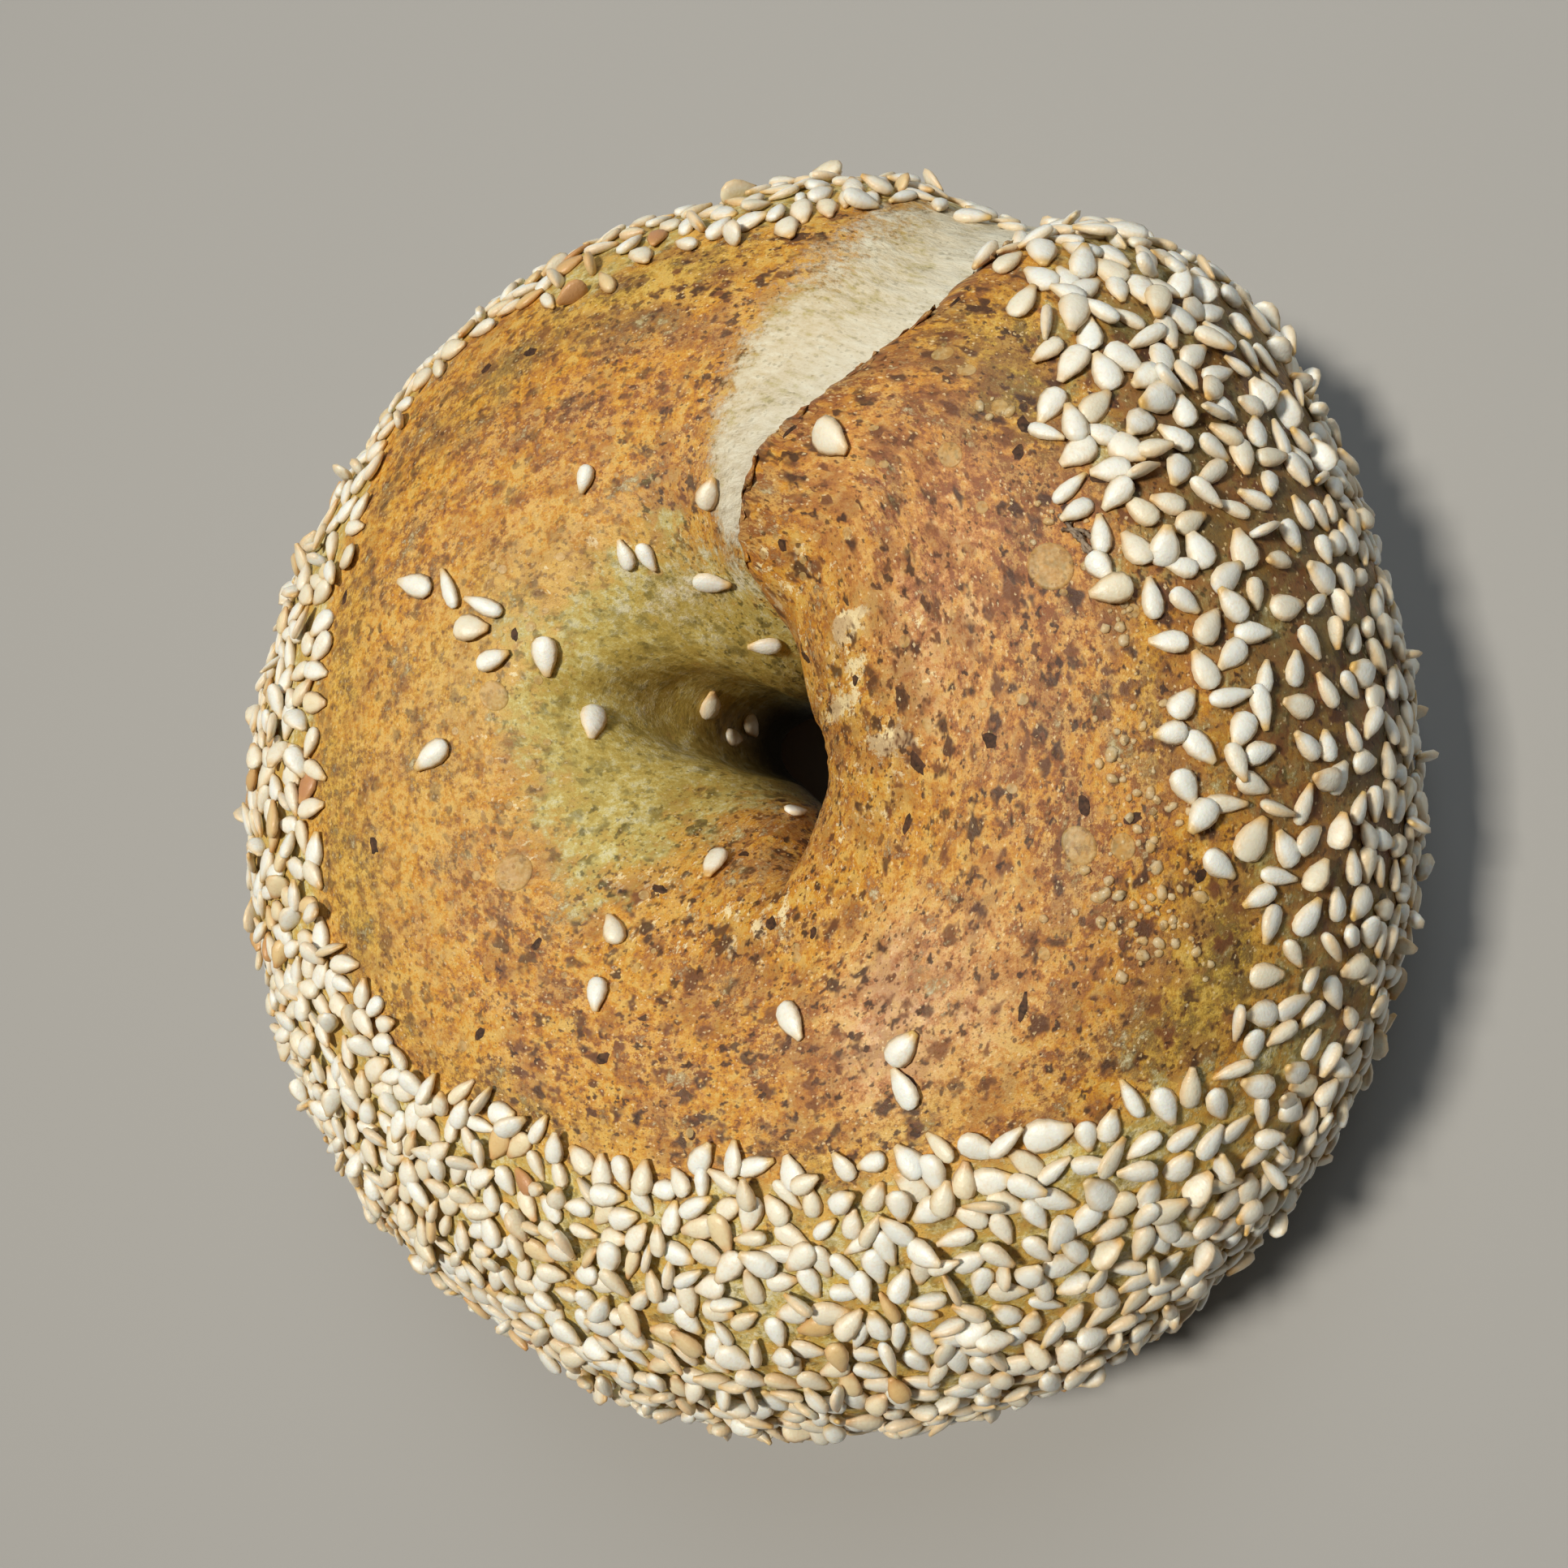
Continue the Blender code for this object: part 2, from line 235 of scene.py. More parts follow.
class CrustSettings(PropertyGroup):
    """Sizes and colours of the crust."""

    unevenness: length_setting("Unevenness", "Height of the crust's slow swells", 0.00022, 0.0, 0.001)
    tan: colour_setting("Tan", "Crust where it is lightly baked", 0.66, 0.405, 0.096)
    golden: colour_setting("Golden", "Crust where it is golden", 0.61, 0.27, 0.02)
    amber: colour_setting("Amber", "Crust where it is well baked", 0.48, 0.19, 0.03)
    brown: colour_setting("Brown", "Crust where it is browned most", 0.27, 0.092, 0.026)
    olive: colour_setting("Olive", "Dough in the folds that did not brown", 0.38, 0.29, 0.065)
    cream: colour_setting("Cream", "Stretched pale dough beside the lap", 0.63, 0.53, 0.35)


class SeedSettings(PropertyGroup):
    """Sizes, number and colours of the seeds."""

    length: length_setting("Length", "Length of a seed", 0.0027, 0.002, 0.005)
    width: length_setting("Width", "Width of a seed", 0.00186, 0.001, 0.003)
    thickness: length_setting("Thickness", "Thickness of a seed", 0.00078, 0.0005, 0.002)
    spacing: length_setting("Spacing", "Least distance between the middles of two seeds",
                            0.00148, 0.001, 0.01)
    tries: IntProperty(name="Tries", description="Number of places that are tried for a seed",
                       default=160000, min=100, max=500000)
    ivory: colour_setting("Ivory", "Hull of a plain seed", 0.86, 0.87, 0.8)
    golden: colour_setting("Golden", "Hull of a toasted seed", 0.8, 0.66, 0.4)


class StudioSettings(PropertyGroup):
    """Floor and light of the studio."""

    floor: colour_setting("Floor", "Colour of the floor", 0.36, 0.35, 0.33)
    key_power: FloatProperty(name="Key Power", description="Power of the main light", default=7.9,
                             min=0.0, max=100.0, unit="POWER")
    fill: FloatProperty(name="Fill", description="Strength of the light from all round", default=0.04,
                        min=0.0, max=5.0, subtype="FACTOR")


class BreadRingSettings(PropertyGroup):
    """All settings of the bread ring."""

    crust: PointerProperty(type=CrustSettings)
    seeds: PointerProperty(type=SeedSettings)
    studio: PointerProperty(type=StudioSettings)


# ---------------------------------------------------------------- form of the dough


def wrap(angle):
    """Bring an angle in degrees between -180 and 180."""
    return (angle + 180.0) % 360.0 - 180.0


def hump(distance, width, power=2):
    """A bump of height 1, which is flatter on top and steeper with a higher power."""
    return np.exp(-np.abs(distance / width) ** power)


def swells(angle, table):
    """Sum of smooth bumps, each given as (angle, height, width)."""
    return sum(height * hump(wrap(angle - centre), width) for centre, height, width in table)


def one_side(around, middle, width):
    """1 on one side of the ring and 0 on the other, with a smooth change between."""
    return hump(wrap(around - middle), width, 4)


def waves(angle, table):
    """Sum of cosine waves, each given as (count round the ring, height, phase)."""
    return sum(height * np.cos(np.radians(count * angle - phase)) for count, height, phase in table)


def ramp(value, low, high):
    """Rise smoothly from 0 at low to 1 at high."""
    share = np.clip((value - low) / (high - low), 0.0, 1.0)
    return share * share * (3.0 - 2.0 * share)


def window(value, appears, full, fades, gone):
    """Rise smoothly from 0 to 1 between the first two values and fall between the last two."""
    return ramp(value, appears, full) * (1.0 - ramp(value, fades, gone))


def rounded(part, fullness):
    """One coordinate of a superellipse, with its sign kept."""
    return np.sign(part) * np.abs(part) ** (2.0 / fullness)


def plain_ring(around, section):
    """Points of the ring before its end is lapped and folded."""
    turn = np.radians(around)
    out = np.stack([np.cos(turn), np.sin(turn)], axis=-1)
    hole = np.array(HOLE_CENTRE)
    offset = hole - np.array(RING_CENTRE)
    radius = RING_RADIUS + waves(around, EDGE_WAVES) + swells(around, EDGE_SWELLS)
    along = (out * offset).sum(axis=-1)
    reach = np.sqrt(along ** 2 + radius ** 2 - (offset ** 2).sum()) - along
    throat = THROAT_RADIUS + swells(around, THROAT_SWELLS)
    middle = (reach + throat) / 2.0
    half_width = (reach - throat) / 2.0
    across = np.cos(np.radians(section))
    rise = np.sin(np.radians(section))
    fullness = np.where(rise >= 0.0, TOP_FULLNESS, BASE_FULLNESS)
    belly = BELLY_SHARE * RING_HEIGHT
    crest = RING_HEIGHT + waves(around, CREST_WAVES)
    half_height = np.where(rise >= 0.0, crest - belly, belly)
    distance = middle + half_width * rounded(across, fullness)
    flat = hole + out * distance[..., None]
    height = belly + half_height * rounded(rise, fullness)
    return np.concatenate([flat, height[..., None]], axis=-1)


def unit(vectors):
    """Vectors brought to length 1."""
    return vectors / np.maximum(np.linalg.norm(vectors, axis=-1, keepdims=True), LEAST)


def ring_frame(around, section):
    """Unit normal and unit direction round the ring at points of the plain ring."""
    along = plain_ring(around + SMALL_TURN, section) - plain_ring(around - SMALL_TURN, section)
    over = plain_ring(around, section + SMALL_TURN) - plain_ring(around, section - SMALL_TURN)
    return unit(np.cross(along, over)), unit(along)


def lap_lean(section):
    """How far the lap's edge lies round the ring from LAP_ANGLE, in degrees."""
    forward = LAP_LEAN * ramp(section, *LAP_FORWARD_SPAN)
    retreat = LAP_RETREAT * ramp(section, *LAP_RETREAT_SPAN)
    back = (LAP_RETREAT - LAP_LEAN + LAP_SET_BACK) * ramp(section, *LAP_RETURN_SPAN)
    return forward - retreat + back - LAP_SET_BACK


def beyond_lap(around, radius):
    """Distance along the rope from the lap's edge, above 0 on the end that lies on top."""
    return -np.radians(wrap(around - LAP_ANGLE)) * np.maximum(radius, LAP_LEAST_RADIUS)


def lap_relief(around, section, radius):
    """Rise of the lapped end and its overhang along the ring."""
    turn = wrap(around - LAP_ANGLE)
    beyond = beyond_lap(around, radius)
    shown = window(section, *LAP_SHOWN_SPAN)
    nose = np.sqrt(1.0 - (1.0 - np.clip(beyond / LAP_ROUND, 0.0, 1.0)) ** 2)
    step = LAP_STEP * nose * (1.0 - ramp(np.abs(turn), *STEP_LEVELS_SPAN))
    before = np.exp(np.minimum(beyond, 0.0) / LAP_GROOVE_BEFORE)
    after = np.exp(-np.maximum(beyond, 0.0) / LAP_GROOVE_BEYOND)
    groove = LAP_GROOVE * before * after * (1.0 - ramp(np.abs(turn), *GROOVE_LEVELS_SPAN))
    bulge = hump(beyond - LAP_OVERHANG, LAP_OVERHANG_WIDTH) * (beyond > 0.0)
    return shown * (step - groove), shown * LAP_OVERHANG * bulge


def fold_depth(around, section, radius):
    """Depth of the folds that run out of the hole."""
    inner, outer = FOLD_BEND_RADII
    total = np.zeros_like(radius)
    for near, far, depth, half_width, fade, full in FOLDS:
        centre = near + (far - near) * np.clip((radius - inner) / (outer - inner), 0.0, 1.0)
        aside = np.radians(wrap(around - centre)) * np.maximum(radius, FOLD_LEAST_RADIUS)
        strength = ramp(section, fade, full) * (1.0 - FOLD_CLOSED_SHARE * ramp(section, *FOLD_CLOSES_SPAN))
        total = total + depth * strength * hump(aside, half_width, FOLD_SHARPNESS)
    return total


def hole_radius(points):
    """Distance of points from the axis of the hole."""
    return np.hypot(points[..., 0] - HOLE_CENTRE[0], points[..., 1] - HOLE_CENTRE[1])


def dough_surface(around, section):
    """Points of the dough's skin for angles in degrees round the ring and its section."""
    section = np.mod(section, 360.0)
    turned = around + lap_lean(section) * hump(wrap(around - LAP_ANGLE), LAP_SPREAD)
    points = plain_ring(turned, section)
    normal, along = ring_frame(turned, section)
    radius = hole_radius(points)
    rise, overhang = lap_relief(around, section, radius)
    rise = rise - fold_depth(around, section, radius)
    points = points + normal * rise[..., None] + along * overhang[..., None]
    points[..., 2] = np.maximum(points[..., 2] - BASE_SINK, 0.0)
    return points


def skin_frame(around, section):
    """Point, unit normal, unit directions round the ring and the section, and relative area."""
    points = dough_surface(around, section)
    along = dough_surface(around + FRAME_TURN, section) - dough_surface(around - FRAME_TURN, section)
    over = dough_surface(around, section + FRAME_TURN) - dough_surface(around, section - FRAME_TURN)
    patch = np.cross(along, over)
    normal, along = unit(patch), unit(along)
    return points, normal, along, np.cross(normal, along), np.linalg.norm(patch, axis=-1)


def crowded_angles(count, crowds):
    """Angles round a full turn, closer together near each (angle, strength, width)."""
    fine = np.linspace(0.0, 360.0, 3601)
    weight = np.cumsum(1.0 + swells(fine, crowds))
    weight = (weight - weight[0]) / (weight[-1] - weight[0])
    return np.interp(np.arange(count) / count, weight, fine)


def field(points, scale, seed):
    """Smooth noise between -1 and 1 at points, with features of the given size in metres."""
    shift = Vector((seed * 7.31, seed * 3.17, seed * 5.53))
    flat = points.reshape(-1, 3) / scale
    values = [noise.noise(Vector(place) + shift) for place in flat.tolist()]
    return np.array(values).reshape(points.shape[:-1])


def fields(points, table):
    """Sum of several noises, each given as (scale, weight, seed)."""
    return sum(weight * field(points, scale, seed) for scale, weight, seed in table)


# ---------------------------------------------------------------- masks on the crust


def zone_sum(around, section, zones):
    """Sum of soft spots on the crust."""
    total = np.zeros(np.broadcast(around, section).shape)
    for angle, width, level, height, change in zones:
        aside = wrap(around - angle) / width
        above = wrap(section - level) / height
        total = total + change * np.exp(-aside ** 2 - above ** 2)
    return total


def band_top(around):
    """Section angle at which the seeded band ends, at an angle round the ring."""
    angles, tops = np.array(SEED_BAND, dtype=float).T
    return np.interp(np.mod(around, 360.0), angles, tops, period=360.0)


def seeded_share(around, section, wobble):
    """How far points of the skin lie in the seeded band, from 0 to 1."""
    top = band_top(around) + 2.5 * wobble
    return window(wrap(section), *BAND_BOTTOM, top - 8.0, top + 1.0)


def lap_cream(around, section, wobble):
    """Pale stretched dough on the tail beside the lap, from 0 to 1."""
    levels, edges = np.array(CREAM_EDGE, dtype=float).T
    far = np.interp(section, levels, edges) + 2.2 * wobble
    behind = wrap(around - LAP_ANGLE)
    inside = 1.0 - ramp(behind, far - LAP_ANGLE - 8.0, far - LAP_ANGLE + 8.0)
    return np.where(behind > -0.2, inside * window(section, *CREAM_SPAN), 0.0)


def fold_olive(around, section, wobble):
    """Unbrowned dough in the folds west of the hole, from 0 to 1."""
    return one_side(around, *OLIVE_SIDE) * window(section + 6.0 * wobble, *OLIVE_SPAN)


def rope_coordinates(around, section, radius):
    """Places on the unrolled rope in millimetres, which stretch towards the hole."""
    fine = np.linspace(0.0, 360.0, 721)
    profile = plain_ring(np.full_like(fine, 270.0), fine)
    steps = np.linalg.norm(np.diff(profile, axis=0), axis=1)
    lengths = np.concatenate([[0.0], np.cumsum(steps)])
    across = np.interp(np.mod(section, 360.0), fine, lengths)
    narrowed = GIRTH_RADIUS * (np.maximum(radius, 1e-4) / GIRTH_RADIUS) ** GIRTH_POWER
    girth = np.where(radius < GIRTH_RADIUS, narrowed, radius)
    turn = np.radians(around)
    return np.stack([girth * np.cos(turn), girth * np.sin(turn), across], axis=-1) / MM


def crust_relief(points, around, section, radius, height):
    """Low relief along the crust's normal: slow swells, wrinkles at the hole, strands on the cream."""
    turn = np.radians(around)
    fan = np.stack([10.0 * np.cos(turn), 10.0 * np.sin(turn), radius / 0.01], axis=-1)
    wrinkles = field(fan * 0.9, 1.0, 3) + 0.5 * field(fan * 1.9, 1.0, 7)
    strands = fields(rope_coordinates(around, section, radius) * STRAND_STRETCH, STRAND_NOISE)
    strands = strands * lap_cream(around, section, np.zeros_like(around))
    return (height * fields(points, SWELL_NOISE)
            + WRINKLE_HEIGHT * window(section, *WRINKLE_SPAN) * wrinkles + STRAND_HEIGHT * strands)


def ragged_lip(points, around, section, radius):
    """Torn edge of the lap: a shift along the ring, in metres."""
    beyond = beyond_lap(around, radius)
    at_lip = hump(beyond - TORN_PLACE, TORN_WIDTH) * (beyond > 0.0)
    return TORN_REACH * at_lip * window(section, *TORN_SPAN) * fields(points, TORN_NOISE)


# ---------------------------------------------------------------- meshes


def grid_faces(columns, rows):
    """Quads of a grid that closes on itself both ways, as an array of corners."""
    column = np.arange(columns)[:, None]
    row = np.arange(rows)[None, :]
    after = (column + 1) % columns
    up = (row + 1) % rows
    corners = [column * rows + row, after * rows + row, after * rows + up, column * rows + up]
    return np.stack([np.broadcast_to(corner, (columns, rows)) for corner in corners], axis=-1).reshape(-1, 4)


def add_object(name, data):
    """A new object in the scene."""
    made = bpy.data.objects.new(name, data)
    bpy.context.scene.collection.objects.link(made)
    return made


def mesh_object(name, points, faces, material):
    """A smooth object from arrays of points and faces, in the scene."""
    mesh = bpy.data.meshes.new(name)
    mesh.from_pydata(points.tolist(), [], faces.tolist())
    mesh.shade_smooth()
    mesh.materials.append(material)
    return add_object(name, mesh)


def store(piece, name, values):
    """Keep one number or vector for each vertex of a piece."""
    kind, key = ("FLOAT_VECTOR", "vector") if values.ndim == 2 else ("FLOAT", "value")
    attribute = piece.data.attributes.new(name, kind, "POINT")
    attribute.data.foreach_set(key, values.astype(np.float32).ravel())


# ---------------------------------------------------------------- shader tools


def put(tree, kind, settings=(), *values, **inputs):
    """Add a node, give it its settings, and fill or link its first inputs and the named ones."""
    node = tree.nodes.new(kind)
    for key, value in dict(settings).items():
        setattr(node, key, value)
    for socket, value in zip(node.inputs, values):
        feed(socket, value)
    fill(node, inputs)
    return node


def fill(node, inputs):
    """Fill or link inputs of a node by name, with underscores for spaces."""
    for key, value in inputs.items():
        feed(node.inputs[key.replace("_", " ")], value)


def tree_of(*values):
    """The node tree of the sockets among some values."""
    return next(value.id_data for value in values if isinstance(value, bpy.types.NodeSocket))


def feed(socket, value):
    """Link a socket to another or set its own value; colours are opaque."""
    if isinstance(value, bpy.types.NodeSocket):
        socket.id_data.links.new(value, socket)
    elif socket.type == "RGBA":
        socket.default_value = (*value[:3], 1.0)
    else:
        socket.default_value = value


def maths(operation, first, second=0.0):
    """One step of arithmetic."""
    tree = tree_of(first, second)
    return put(tree, "ShaderNodeMath", {"operation": operation}, first, second).outputs[0]


def vector_maths(operation, first, second):
    """One step of arithmetic with vectors."""
    tree = tree_of(first, second)
    return put(tree, "ShaderNodeVectorMath", {"operation": operation}, first, second).outputs[0]


def scaled(vector, scale):
    """A vector times a number."""
    settings = {"operation": "SCALE"}
    return put(vector.id_data, "ShaderNodeVectorMath", settings, vector, Scale=scale).outputs[0]


def blend(share, first, second):
    """Mix two colours by a share."""
    node = put(tree_of(share, first, second), "ShaderNodeMix", {"data_type": "RGBA"})
    feed(node.inputs[0], share)
    feed(node.inputs[6], first)
    feed(node.inputs[7], second)
    return node.outputs[2]


def smooth_step(value, low, high, start=0.0, end=1.0):
    """Carry a value smoothly from one range to another."""
    return put(value.id_data, "ShaderNodeMapRange", {"interpolation_type": "SMOOTHSTEP"}, Value=value,
               From_Min=low, From_Max=high, To_Min=start, To_Max=end).outputs["Result"]


def attribute(tree, name, output="Fac"):
    """Read a vertex attribute of the piece."""
    settings = {"attribute_type": "GEOMETRY", "attribute_name": name}
    return put(tree, "ShaderNodeAttribute", settings).outputs[output]


def shader_group(name, numbers, outputs):
    """A node group that takes a vector and named numbers, or None if it is built already."""
    if name in bpy.data.node_groups:
        return None
    tree = bpy.data.node_groups.new(name, "ShaderNodeTree")
    tree.interface.new_socket("Vector", in_out="INPUT", socket_type="NodeSocketVector")
    for label, default in numbers.items():
        socket = tree.interface.new_socket(label, in_out="INPUT", socket_type="NodeSocketFloat")
        socket.default_value = default
    for label in outputs:
        tree.interface.new_socket(label, in_out="OUTPUT", socket_type="NodeSocketFloat")
    tree.nodes.new("NodeGroupInput")
    tree.nodes.new("NodeGroupOutput")
    return tree


def use_group(tree, group, **inputs):
    """Place a node group in a tree."""
    return put(tree, "ShaderNodeGroup", {"node_tree": bpy.data.node_groups[group]}, **inputs)


def wandering(tree, given):
    """The given vector, pushed about by noise that is finer than the given scale."""
    finer = product(given["Scale"], 1.7)
    wander = put(tree, "ShaderNodeTexNoise", Vector=given["Vector"], Detail=1.0, Scale=finer)
    centred = vector_maths("SUBTRACT", wander.outputs["Color"], (0.5, 0.5, 0.5))
    far = maths("DIVIDE", given["Warp"], given["Scale"])
    return vector_maths("ADD", given["Vector"], scaled(centred, far))


def build_speckle_group():
    """Irregular flecks: a mask, and a tint that differs from fleck to fleck."""
    numbers = {"Scale": 1.0, "Reach": 0.4, "Softness": 0.1, "Warp": 0.3, "Share": 0.5}
    tree = shader_group("speckle", numbers, ("Mask", "Tint"))
    if tree is None:
        return
    given = tree.nodes["Group Input"].outputs
    moved = wandering(tree, given)
    cells = put(tree, "ShaderNodeTexVoronoi", {"distance": "MANHATTAN"}, Vector=moved,
                Scale=given["Scale"])
    parts = put(tree, "ShaderNodeSeparateColor", Color=cells.outputs["Color"])
    chosen = maths("LESS_THAN", parts.outputs["Red"], given["Share"])
    size = maths("ADD", product(parts.outputs["Green"], 0.7), 0.3)
    reach = product(given["Reach"], size)
    outer = maths("ADD", reach, given["Softness"])
    mask = smooth_step(cells.outputs["Distance"], reach, outer, 1.0, 0.0)
    result = tree.nodes["Group Output"].inputs
    feed(result["Mask"], product(mask, chosen))
    feed(result["Tint"], parts.outputs["Blue"])


def build_grain_group():
    """Fine unevenness: one value that mixes two sizes of noise."""
    tree = shader_group("grain", {"Scale": 2.0, "Fineness": 3.0}, ("Value",))
    if tree is None:
        return
    given = tree.nodes["Group Input"].outputs
    broad = put(tree, "ShaderNodeTexNoise", Vector=given["Vector"], Scale=given["Scale"], Detail=3.0)
    finer = product(given["Scale"], given["Fineness"])
    fine = put(tree, "ShaderNodeTexNoise", Vector=given["Vector"], Detail=2.0, Scale=finer)
    both = maths("ADD", broad.outputs[0], fine.outputs[0])
    feed(tree.nodes["Group Output"].inputs["Value"], product(both, 0.5))


def new_material(name, **inputs):
    """A material, its tree and its Principled shader with the given inputs."""
    material = bpy.data.materials.new(name)
    material.use_nodes = True
    shader = material.node_tree.nodes["Principled BSDF"]
    fill(shader, inputs)
    return material, material.node_tree, shader


def weighed(start, *parts):
    """A value plus others, each centred on a half and times its weight."""
    total = start
    for value, weight in parts:
        settings = {"operation": "MULTIPLY_ADD"}
        total = put(value.id_data, "ShaderNodeMath", settings, value, weight, total).outputs[0]
    return maths("SUBTRACT", total, 0.5 * sum(weight for _, weight in parts))


def product(*values):
    """Product of several values."""
    total = values[0]
    for value in values[1:]:
        total = maths("MULTIPLY", total, value)
    return total


def noise_value(vector, scale, detail, roughness):
    """One value of noise."""
    return put(vector.id_data, "ShaderNodeTexNoise", Vector=vector, Scale=scale, Detail=detail,
               Roughness=roughness).outputs[0]


def stretched(vector, x, y, z):
    """A vector with each of its axes scaled."""
    return put(vector.id_data, "ShaderNodeMapping", {"vector_type": "POINT"}, Vector=vector,
               Scale=(x, y, z)).outputs[0]


def layer(base, colour, share, strength):
    """A colour laid over the base where a mask is high."""
    return blend(product(share, strength), base, colour)


def rest_of(share, strength):
    """What a mask leaves of 1 when it is taken off with a strength."""
    return maths("SUBTRACT", 1.0, product(share, strength))


def add_bump(shader, strength, distance, height):
    """Give a shader small relief."""
    bump = put(height.id_data, "ShaderNodeBump", Strength=strength, Distance=distance, Height=height)
    feed(shader.inputs["Normal"], bump.outputs["Normal"])


def colour_ramp(value, stops):
    """Colours along a value, given as (place, colour)."""
    node = put(value.id_data, "ShaderNodeValToRGB", Fac=value)
    elements = node.color_ramp.elements
    while len(elements) < len(stops):
        elements.new(0.5)
    for element, (place, colour) in zip(elements, stops):
        element.position = place
        element.color = (*colour[:3], 1.0)
    return node.outputs["Color"]


# Noises on the crust: scale, detail and roughness; the last three on the stretched rope.
MOTTLE = (0.24, 3.0, 0.6)
CLOUD = (0.75, 5.0, 0.74)
GRAIN = (1.9, 5.0, 0.76)
CRACKLE = (5.5, 3.0, 0.7)
WEAVE = (1.8, 5.0, 0.72)
STREAKS = (0.85, 3.0, 0.62)
STRANDS = (1.6, 4.0, 0.66)

# Colours of the browned crust.
LACE = (0.78, 0.51, 0.16)
ROSY_STOPS = ((0.15, (0.78, 0.5, 0.29)), (0.55, (0.56, 0.255, 0.12)), (0.95, (0.3, 0.115, 0.06)))
MOSS_STOPS = ((0.15, (0.64, 0.45, 0.105)), (0.5, (0.46, 0.29, 0.045)), (0.9, (0.22, 0.135, 0.035)))
TORN = (0.87, 0.73, 0.42)
CRACKLE_LIGHT = (0.78, 0.49, 0.12)
CRACKLE_DARK = (0.26, 0.092, 0.024)
GRAIN_LIGHT = (0.79, 0.5, 0.12)
GRAIN_DARK = (0.22, 0.085, 0.026)
# Colours of dough that did not brown, from dark to light, and of what lies on it; then the east side's
# darker crust, partly painted shade, and the painted shade of the throat.
YELLOW_STOPS = ((0.42, (0.5, 0.365, 0.082)), (0.66, (0.6, 0.485, 0.15)), (0.95, (0.71, 0.65, 0.36)))
# Darker crust of the east side, partly painted shade.
EAST_CRUST_AND_SHADE = (0.125, 0.092, 0.036)
CREAM_DARK = (0.46, 0.37, 0.14)
CREAM_LIGHT = (0.73, 0.67, 0.5)
CHALK = (0.66, 0.66, 0.56)
# Painted shade, nearly black, on the deep walls of the hole's throat.
PAINTED_THROAT_SHADE = (0.012, 0.01, 0.006)

# Layers of flecks: scale and share of the cells, reach, softness and warp of a fleck, strength,
# colours of its rim and its heart on browned crust, and its colour on dough that did not brown.
FLECKS = (
    (0.3, 0.62, 0.6, 0.8, 1.0, 0.5, (0.4, 0.155, 0.046), (0.23, 0.082, 0.032), (0.44, 0.34, 0.09)),
    (0.56, 0.42, 0.48, 0.55, 1.2, 0.92, (0.26, 0.092, 0.03), (0.06, 0.026, 0.016), (0.2, 0.155, 0.04)),
    (0.98, 0.34, 0.46, 0.44, 1.1, 0.92, (0.25, 0.086, 0.027), (0.052, 0.024, 0.014), (0.13, 0.105, 0.025)),
    (1.9, 0.28, 0.43, 0.36, 0.8, 0.8, (0.23, 0.08, 0.022), (0.052, 0.026, 0.013), (0.11, 0.09, 0.025)),
    (3.6, 0.26, 0.42, 0.34, 0.7, 0.55, (0.2, 0.075, 0.02), (0.065, 0.031, 0.014), (0.15, 0.12, 0.035)),
    (2.8, 0.2, 0.36, 0.36, 0.8, 0.62, (0.8, 0.54, 0.22), (0.86, 0.68, 0.39), (0.76, 0.7, 0.47)),
)
LARGE_FLECK_SCALE = 1.5


def browned(tree, mottle, cloud, grain, weave, along, rope, colours):
    """Colour of browned crust: lace, rosy and mossy places, torn streaks, crackle and grain."""
    # Browning, which on the east side also carries some painted shade.
    heat_and_shade = weighed(attribute(tree, "toast_and_shade"), (mottle, 2.4), (cloud, 2.9), (grain, 1.7), (weave, 2.5))
    base = colour_ramp(heat_and_shade, (
        (0.0, colours.tan), (0.36, colours.golden), (0.72, colours.amber), (1.0, colours.brown)))
    ridge = maths("ABSOLUTE", maths("SUBTRACT", cloud, 0.46))
    lace = product(smooth_step(ridge, 0.0, 0.075, 1.0, 0.0), smooth_step(mottle, 0.4, 0.56))
    base = layer(base, LACE, lace, 0.58)
    rosy = product(attribute(tree, "rosy"), smooth_step(cloud, 0.3, 0.62, 0.35, 1.0))
    base = blend(rosy, base, colour_ramp(heat_and_shade, ROSY_STOPS))
    moss = weighed(attribute(tree, "moss"), (mottle, 1.0), (cloud, 0.8))
    base = blend(smooth_step(moss, 0.1, 0.75), base, colour_ramp(heat_and_shade, MOSS_STOPS))
    streaks = noise_value(along, *STREAKS)
    torn = weighed(attribute(tree, "stretch"), (streaks, 1.8), (weave, 2.2), (mottle, -0.8), (grain, 1.6))
    base = layer(base, TORN, smooth_step(torn, 0.8, 1.06), 0.94)
    crackle = noise_value(rope, *CRACKLE)
    base = blend(smooth_step(crackle, 0.56, 0.74, 0.0, 0.36), base, CRACKLE_LIGHT)
    base = blend(smooth_step(crackle, 0.46, 0.32, 0.0, 0.42), base, CRACKLE_DARK)
    base = layer(base, GRAIN_LIGHT, smooth_step(grain, 0.53, 0.76), 0.5)
    return layer(base, GRAIN_DARK, smooth_step(grain, 0.46, 0.28), 0.42)


def flecked(tree, base, rope, cream, raw):
    """The base colour with all layers of flecks, of which the large ones spare the cream."""
    bold = attribute(tree, "bold")
    few = product(bold, rest_of(cream, 0.94))
    some = product(bold, rest_of(cream, 0.62))
    for scale, share, reach, softness, warp, strength, rim, heart, unbrowned in FLECKS:
        flecks = use_group(tree, "speckle", Vector=rope, Scale=scale, Reach=reach, Softness=softness,
                           Warp=warp, Share=share).outputs
        inner = product(flecks["Mask"], smooth_step(flecks["Tint"], 0.0, 0.6, 0.35, 1.0))
        tone = blend(raw, blend(inner, rim, heart), unbrowned)
        shown = few if scale < LARGE_FLECK_SCALE else some
        base = blend(product(flecks["Mask"], shown, strength), base, tone)
    return base


